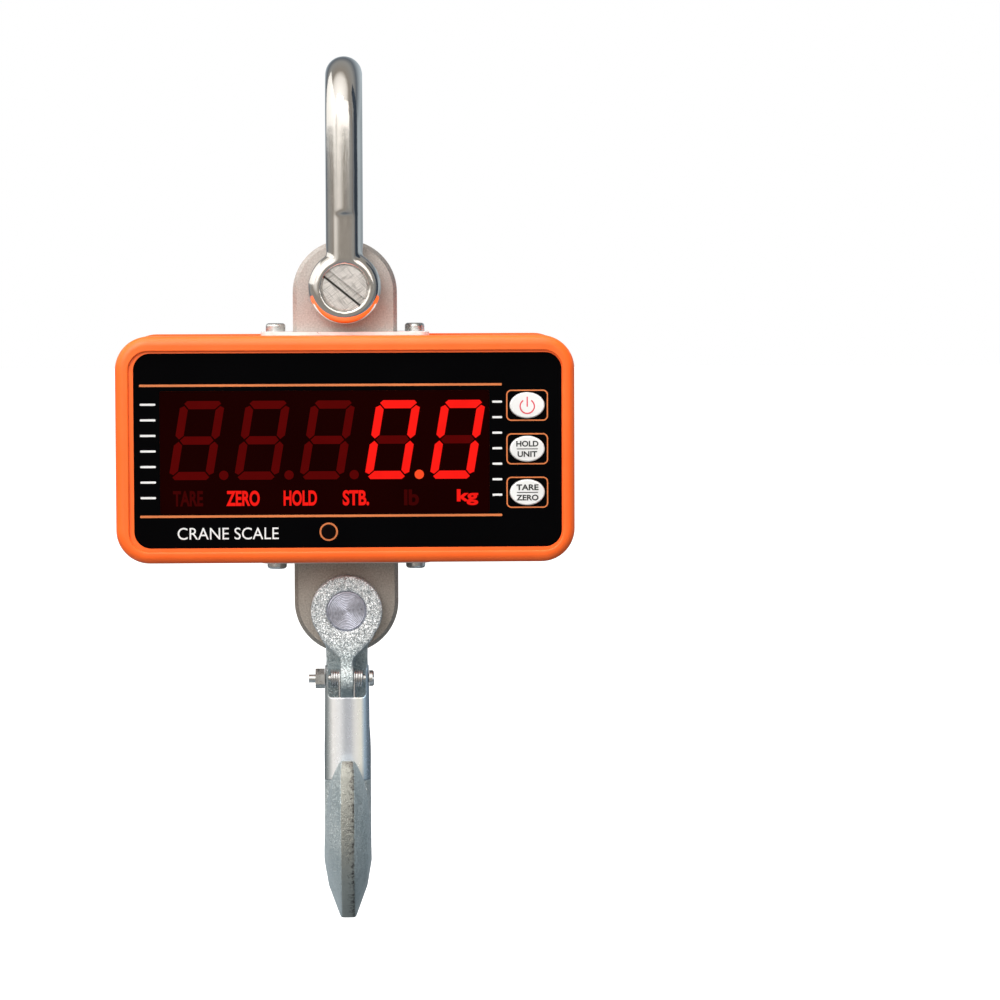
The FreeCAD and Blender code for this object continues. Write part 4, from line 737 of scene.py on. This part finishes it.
def make_key_legends():
    """Power symbol and the two-line legends, each riding on its key."""
    make_power_symbol("power_key")
    legends = {"hold_key": [("HOLD", 8.6), ("UNIT", 7.6)], "tare_key": [("TARE", 8.6), ("ZERO", 8.6)]}
    height, rise = 2.25 * MM, 2.0 * MM
    rule_width, rule_thick = 8.2 * MM, 0.32 * MM
    for key, words in legends.items():
        x, face, z = front_centre(key)
        for (word, width), up in zip(words, (rise, -rise)):
            add_lettering(f"{key}_{word.lower()}", word, x, z + up, width * MM, height,
                          key, "key_white", "ink_grey", face, 0.03)
        rule = bmesh.new()
        add_slab(rule, round_outline(x, z, rule_width, rule_thick, 0.1 * MM, 2), face, INK)
        bmesh_piece(f"{key}_rule", rule, key, "key_white", "ink_grey")


def make_power_symbol(key):
    """Open circle with a bar through its gap."""
    x, face, z = front_centre(key)
    radius, line, opening, steps = 2.75 * MM, 0.5 * MM, math.radians(34), 40
    ring_z, bar_z, bar_height = z - 0.4 * MM, z + 1.4 * MM, 3.9 * MM
    sweep = 2 * math.pi - 2 * opening
    turns = [math.pi / 2 + opening + sweep * step / steps for step in range(steps + 1)]
    rows = []
    for reach in (radius + line / 2, radius - line / 2):
        rows.append([(x + reach * math.cos(turn), ring_z + reach * math.sin(turn)) for turn in turns])
    outer, inner = rows
    work = bmesh.new()
    for index in range(steps):
        add_slab(work, [outer[index], outer[index + 1], inner[index + 1], inner[index]], face, INK)
    add_slab(work, round_outline(x, bar_z, line, bar_height, 0.2 * MM, 3), face, INK)
    bmesh.ops.remove_doubles(work, verts=work.verts, dist=1e-6)
    bmesh_piece("power_symbol", work, key, "key_white", "ink_red")


# ---------------------------------------------------------------- forged and bent metal
def remeshed_copy(node, name, voxel, smooth_steps, body, slot, grain=0.0, relief=0.0):
    """A copy of a CAD node with its hard seams melted together; grain and relief give it a forged skin."""
    source = frame["nodes"][node]
    piece = add_object(name, source.data.copy())
    remesh = piece.modifiers.new("melt", "REMESH")
    remesh.mode = "VOXEL"
    remesh.voxel_size = voxel
    smooth = piece.modifiers.new("smooth", "SMOOTH")
    smooth.factor = 0.5
    smooth.iterations = smooth_steps
    if relief:
        texture = bpy.data.textures.new(f"{name}_scale", "CLOUDS")
        texture.noise_scale = grain
        texture.noise_depth = 3
        displace = piece.modifiers.new("scale", "DISPLACE")
        displace.texture = texture
        displace.texture_coords = "LOCAL"
        displace.strength = relief
        displace.mid_level = 0.5
    graph = bpy.context.evaluated_depsgraph_get()
    mesh = bpy.data.meshes.new_from_object(piece.evaluated_get(graph))
    bpy.data.objects.remove(piece)
    mesh.shade_smooth()
    mesh.name = name
    made = mesh_piece(name, mesh, body, slot)
    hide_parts(node)
    return made


def paint_ridge(piece):
    """Gives the flat outer ridge of the hook's bowl its ground finish."""
    piece.data.materials.append(MATERIALS["ground_ridge"])
    bowl_rise, tip_rise = 48 * MM, 20 * MM
    bowl = Vector((0.0, 0.0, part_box("hook_body")[0][2] + bowl_rise))
    tip_z = bowl.z + tip_rise
    half_width, outward = 3.3 * MM, 0.86
    for face in piece.data.polygons:
        centre = face.center
        away = Vector((0.0, centre.y - bowl.y, centre.z - bowl.z)).normalized()
        if centre.z < tip_z and abs(centre.x) < half_width and face.normal.dot(away) > outward:
            face.material_index = 1


def spring_coil(pivot, side, inner, outer):
    """One coil, from the leg on the latch's web round the bolt and out towards the hook's neck."""
    coil_radius = 3.1 * MM
    turns, lead, steps = 3, math.radians(100), 66
    winding = turns * 2 * math.pi + lead
    points = []
    for step in range(steps + 1):
        share = step / steps
        turn = math.pi - winding * share
        x = side * (inner + (outer - inner) * share)
        points.append(pivot + Vector((x, coil_radius * math.cos(turn), coil_radius * math.sin(turn))))
    return points


def make_latch_spring():
    """Double torsion spring: a coil each side of the tongue, joined by a bridge under the latch."""
    pivot = Vector(JOINTS["latch_pivot"]["pos_m"])
    wire, inner, outer = 0.5 * MM, 2.95 * MM, 6.0 * MM
    sheet, clearance = 0.8 * MM, 0.2 * MM
    bridge_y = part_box("safety_latch")[0][1] + sheet + wire + clearance
    bridge_drop = 15.0 * MM
    bridge_z = pivot.z - bridge_drop
    tail = Vector((0, 4.6 * MM, -1.4 * MM))
    left, right = spring_coil(pivot, -1, inner, outer), spring_coil(pivot, 1, inner, outer)
    bridge = [Vector((-inner, bridge_y, bridge_z)), Vector((inner, bridge_y, bridge_z))]
    points = [left[-1] + tail] + left[::-1] + bridge + right + [right[-1] + tail]
    curve = bpy.data.curves.new("latch_spring_wire", "CURVE")
    curve.dimensions = "3D"
    curve.bevel_depth = wire
    curve.bevel_resolution = 3
    curve.use_fill_caps = True
    spline = curve.splines.new("POLY")
    spline.points.add(len(points) - 1)
    for slot, point in zip(spline.points, points):
        slot.co = (*point, 1.0)
    mesh = mesh_of_curve(curve)
    mesh.shade_smooth()
    mesh.materials.clear()
    mesh.materials.append(MATERIALS["spring_steel"])
    piece = add_object("latch_spring_coils", mesh)
    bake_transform(piece)
    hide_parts("latch_spring")


# ---------------------------------------------------------------- surroundings
def make_floor():
    """Pale floor below the hanging scale, as white as the room round it."""
    work = bmesh.new()
    clearance, reach = 0.10, 14.0
    rings, segments, crowding = 24, 96, 2.2
    floor_z = cad_box[0][2] - clearance
    turns = [2 * math.pi * step / segments for step in range(segments)]
    rows = []
    for ring in range(1, rings + 1):
        radius = reach * (ring / rings) ** crowding
        rows.append([work.verts.new((radius * math.cos(turn), radius * math.sin(turn), floor_z))
                     for turn in turns])
    work.faces.new(rows[0])
    for inner, outer in zip(rows, rows[1:]):
        for step in range(segments):
            follow = (step + 1) % segments
            work.faces.new((inner[step], inner[follow], outer[follow], outer[step]))
    mesh = bpy.data.meshes.new("floor")
    work.to_mesh(mesh)
    work.free()
    floor = add_object("floor", mesh)
    material = new_material("floor", (0.5, 0.5, 0.5), 0.9, Emission_Strength=1.0)
    shader_of(material).inputs["Emission Color"].default_value = (1.0, 1.0, 1.0, 1.0)
    mesh.materials.append(material)
    floor.visible_diffuse = False
    floor.visible_glossy = False
    floor.visible_shadow = False


def make_card(name, centre, size, turn, colour, glow):
    """A flat card that only shows in reflections."""
    half_width, half_height = size[0] / 2, size[1] / 2
    corners = [(x * half_width, 0, z * half_height) for x, z in ((-1, -1), (1, -1), (1, 1), (-1, 1))]
    mesh = bpy.data.meshes.new(name)
    mesh.from_pydata(corners, [], [(0, 1, 2, 3)])
    card = add_object(name, mesh)
    card.location = centre
    card.rotation_euler = (0, 0, math.radians(turn))
    material = new_material(name, colour, 0.9, Specular_IOR_Level=0.0, Emission_Strength=glow)
    shader_of(material).inputs["Emission Color"].default_value = (*colour, 1.0)
    mesh.materials.append(material)
    card.visible_camera = False
    card.visible_diffuse = False
    card.visible_shadow = False


def make_cards():
    """Dark and warm boards to the right, and glowing ones in front and to the left."""
    make_card("dark_right", (1.0, -0.25, -0.1), (0.5, 2.4), -75, (0.03, 0.04, 0.055), 0.0)
    make_card("front_board", (-0.1, -1.0, 0.445), (1.5, 0.84), 0, (0.80, 0.76, 0.71), 1.0)
    make_card("left_board", (-1.0, 0.0, 0.445), (1.9, 0.84), 80, (0.62, 0.60, 0.57), 1.0)
    make_card("warm_right", (1.1, -0.9, -0.1), (0.35, 2.0), -50, (0.20, 0.15, 0.11), 0.0)


def make_light(name, place, size, power, colour, glossy):
    """A soft box aimed at the middle of the case."""
    data = bpy.data.lights.new(name, "AREA")
    data.shape = "RECTANGLE"
    data.size, data.size_y = size
    data.energy = power
    data.color = colour
    light = add_object(name, data)
    light.location = place
    aim = Vector((0, 0, CASE_Z)) - Vector(place)
    light.rotation_euler = aim.to_track_quat("-Z", "Y").to_euler()
    light.visible_glossy = glossy


def make_lights():
    """Soft boxes in front, above and behind; only the key light shows in reflections."""
    white, warm = (1, 1, 1), (1.0, 0.97, 0.93)
    make_light("key_light", (-0.6, -1.2, 0.8), (0.9, 0.9), 13, white, True)
    make_light("front_light", (-0.5, -1.65, 0.45), (1.5, 1.2), 8, warm, False)
    make_light("top_light", (0.0, -0.25, 1.1), (1.3, 1.0), 20, white, False)
    make_light("rear_light", (0.5, 1.3, 0.5), (1.0, 1.0), 8, white, False)


def make_room():
    """White to look at, but lights the object as a room does.

    It is bright at the upper left in front, dim round the sides, and cool towards the lower right behind.
    """
    world = bpy.data.worlds.new("room")
    world.use_nodes = True
    nodes, links = world.node_tree.nodes, world.node_tree.links
    seen = nodes["Background"]
    seen.inputs["Color"].default_value = (1.0, 1.0, 1.0, 1.0)
    lit = nodes.new("ShaderNodeBackground")
    place = nodes.new("ShaderNodeTexCoord")
    towards = nodes.new("ShaderNodeVectorMath")
    towards.operation = "DOT_PRODUCT"
    brightest_way = Vector((-0.42, -0.58, 0.70)).normalized()
    towards.inputs[1].default_value = brightest_way
    links.new(place.outputs["Generated"], towards.inputs[0])
    reach = nodes.new("ShaderNodeMapRange")
    reach.inputs["From Min"].default_value = -1.0
    links.new(towards.outputs["Value"], reach.inputs["Value"])
    stops = [(0.0, (0.04, 0.045, 0.05)), (0.22, (0.48, 0.55, 0.60)), (0.42, (0.13, 0.15, 0.175)),
             (0.58, (0.32, 0.32, 0.31)), (0.80, (0.31, 0.28, 0.245)), (0.88, (0.95, 0.90, 0.84)),
             (1.0, (1.35, 1.30, 1.24))]
    links.new(colour_bands(world.node_tree, reach.outputs["Result"], stops), lit.inputs["Color"])
    rays = nodes.new("ShaderNodeLightPath")
    mix = nodes.new("ShaderNodeMixShader")
    links.new(rays.outputs["Is Camera Ray"], mix.inputs["Fac"])
    links.new(lit.outputs["Background"], mix.inputs[1])
    links.new(seen.outputs["Background"], mix.inputs[2])
    links.new(mix.outputs["Shader"], nodes["World Output"].inputs["Surface"])
    bpy.context.scene.world = world


def make_camera():
    """Looks along +Y from a little above the case, with the slight roll of a hand-held view."""
    data = bpy.data.cameras.new("camera")
    data.sensor_width = 36.0
    data.lens = 136.6
    data.clip_start = 0.05
    camera = add_object("camera", data)
    distance, raised, aside = 1.5, 0.065, 0.005
    camera.location = (aside, -distance, CASE_Z + raised)
    pan = Matrix.Rotation(math.radians(-2.135), 4, "Z")
    tilt = Matrix.Rotation(math.radians(90 - 3.31), 4, "X")
    roll = Matrix.Rotation(math.radians(-0.2), 4, "Z")
    camera.rotation_mode = "QUATERNION"
    camera.rotation_quaternion = (pan @ tilt @ roll).to_quaternion()
    bpy.context.scene.camera = camera


# ---------------------------------------------------------------- put together
paint_cad_nodes()
print_rules()
print_ticks()
print_key_frames()
print_lens_ring()
print_title()
make_digits()
make_annunciators()
make_key_legends()
forged_hook = remeshed_copy("hook_body", "forged_hook", 0.6 * MM, 4, "hook", "zinc_forged",
                            grain=2.2 * MM, relief=0.05 * MM)
paint_ridge(forged_hook)
remeshed_copy("shackle_bow", "polished_shackle", 0.6 * MM, 10, "shackle", "stainless")
remeshed_copy("safety_latch", "pressed_latch", 0.22 * MM, 8, "latch", "zinc_sheet")
make_latch_spring()
make_floor()
make_cards()
make_room()
make_lights()
make_camera()
bpy.context.scene.view_settings.view_transform = "Standard"
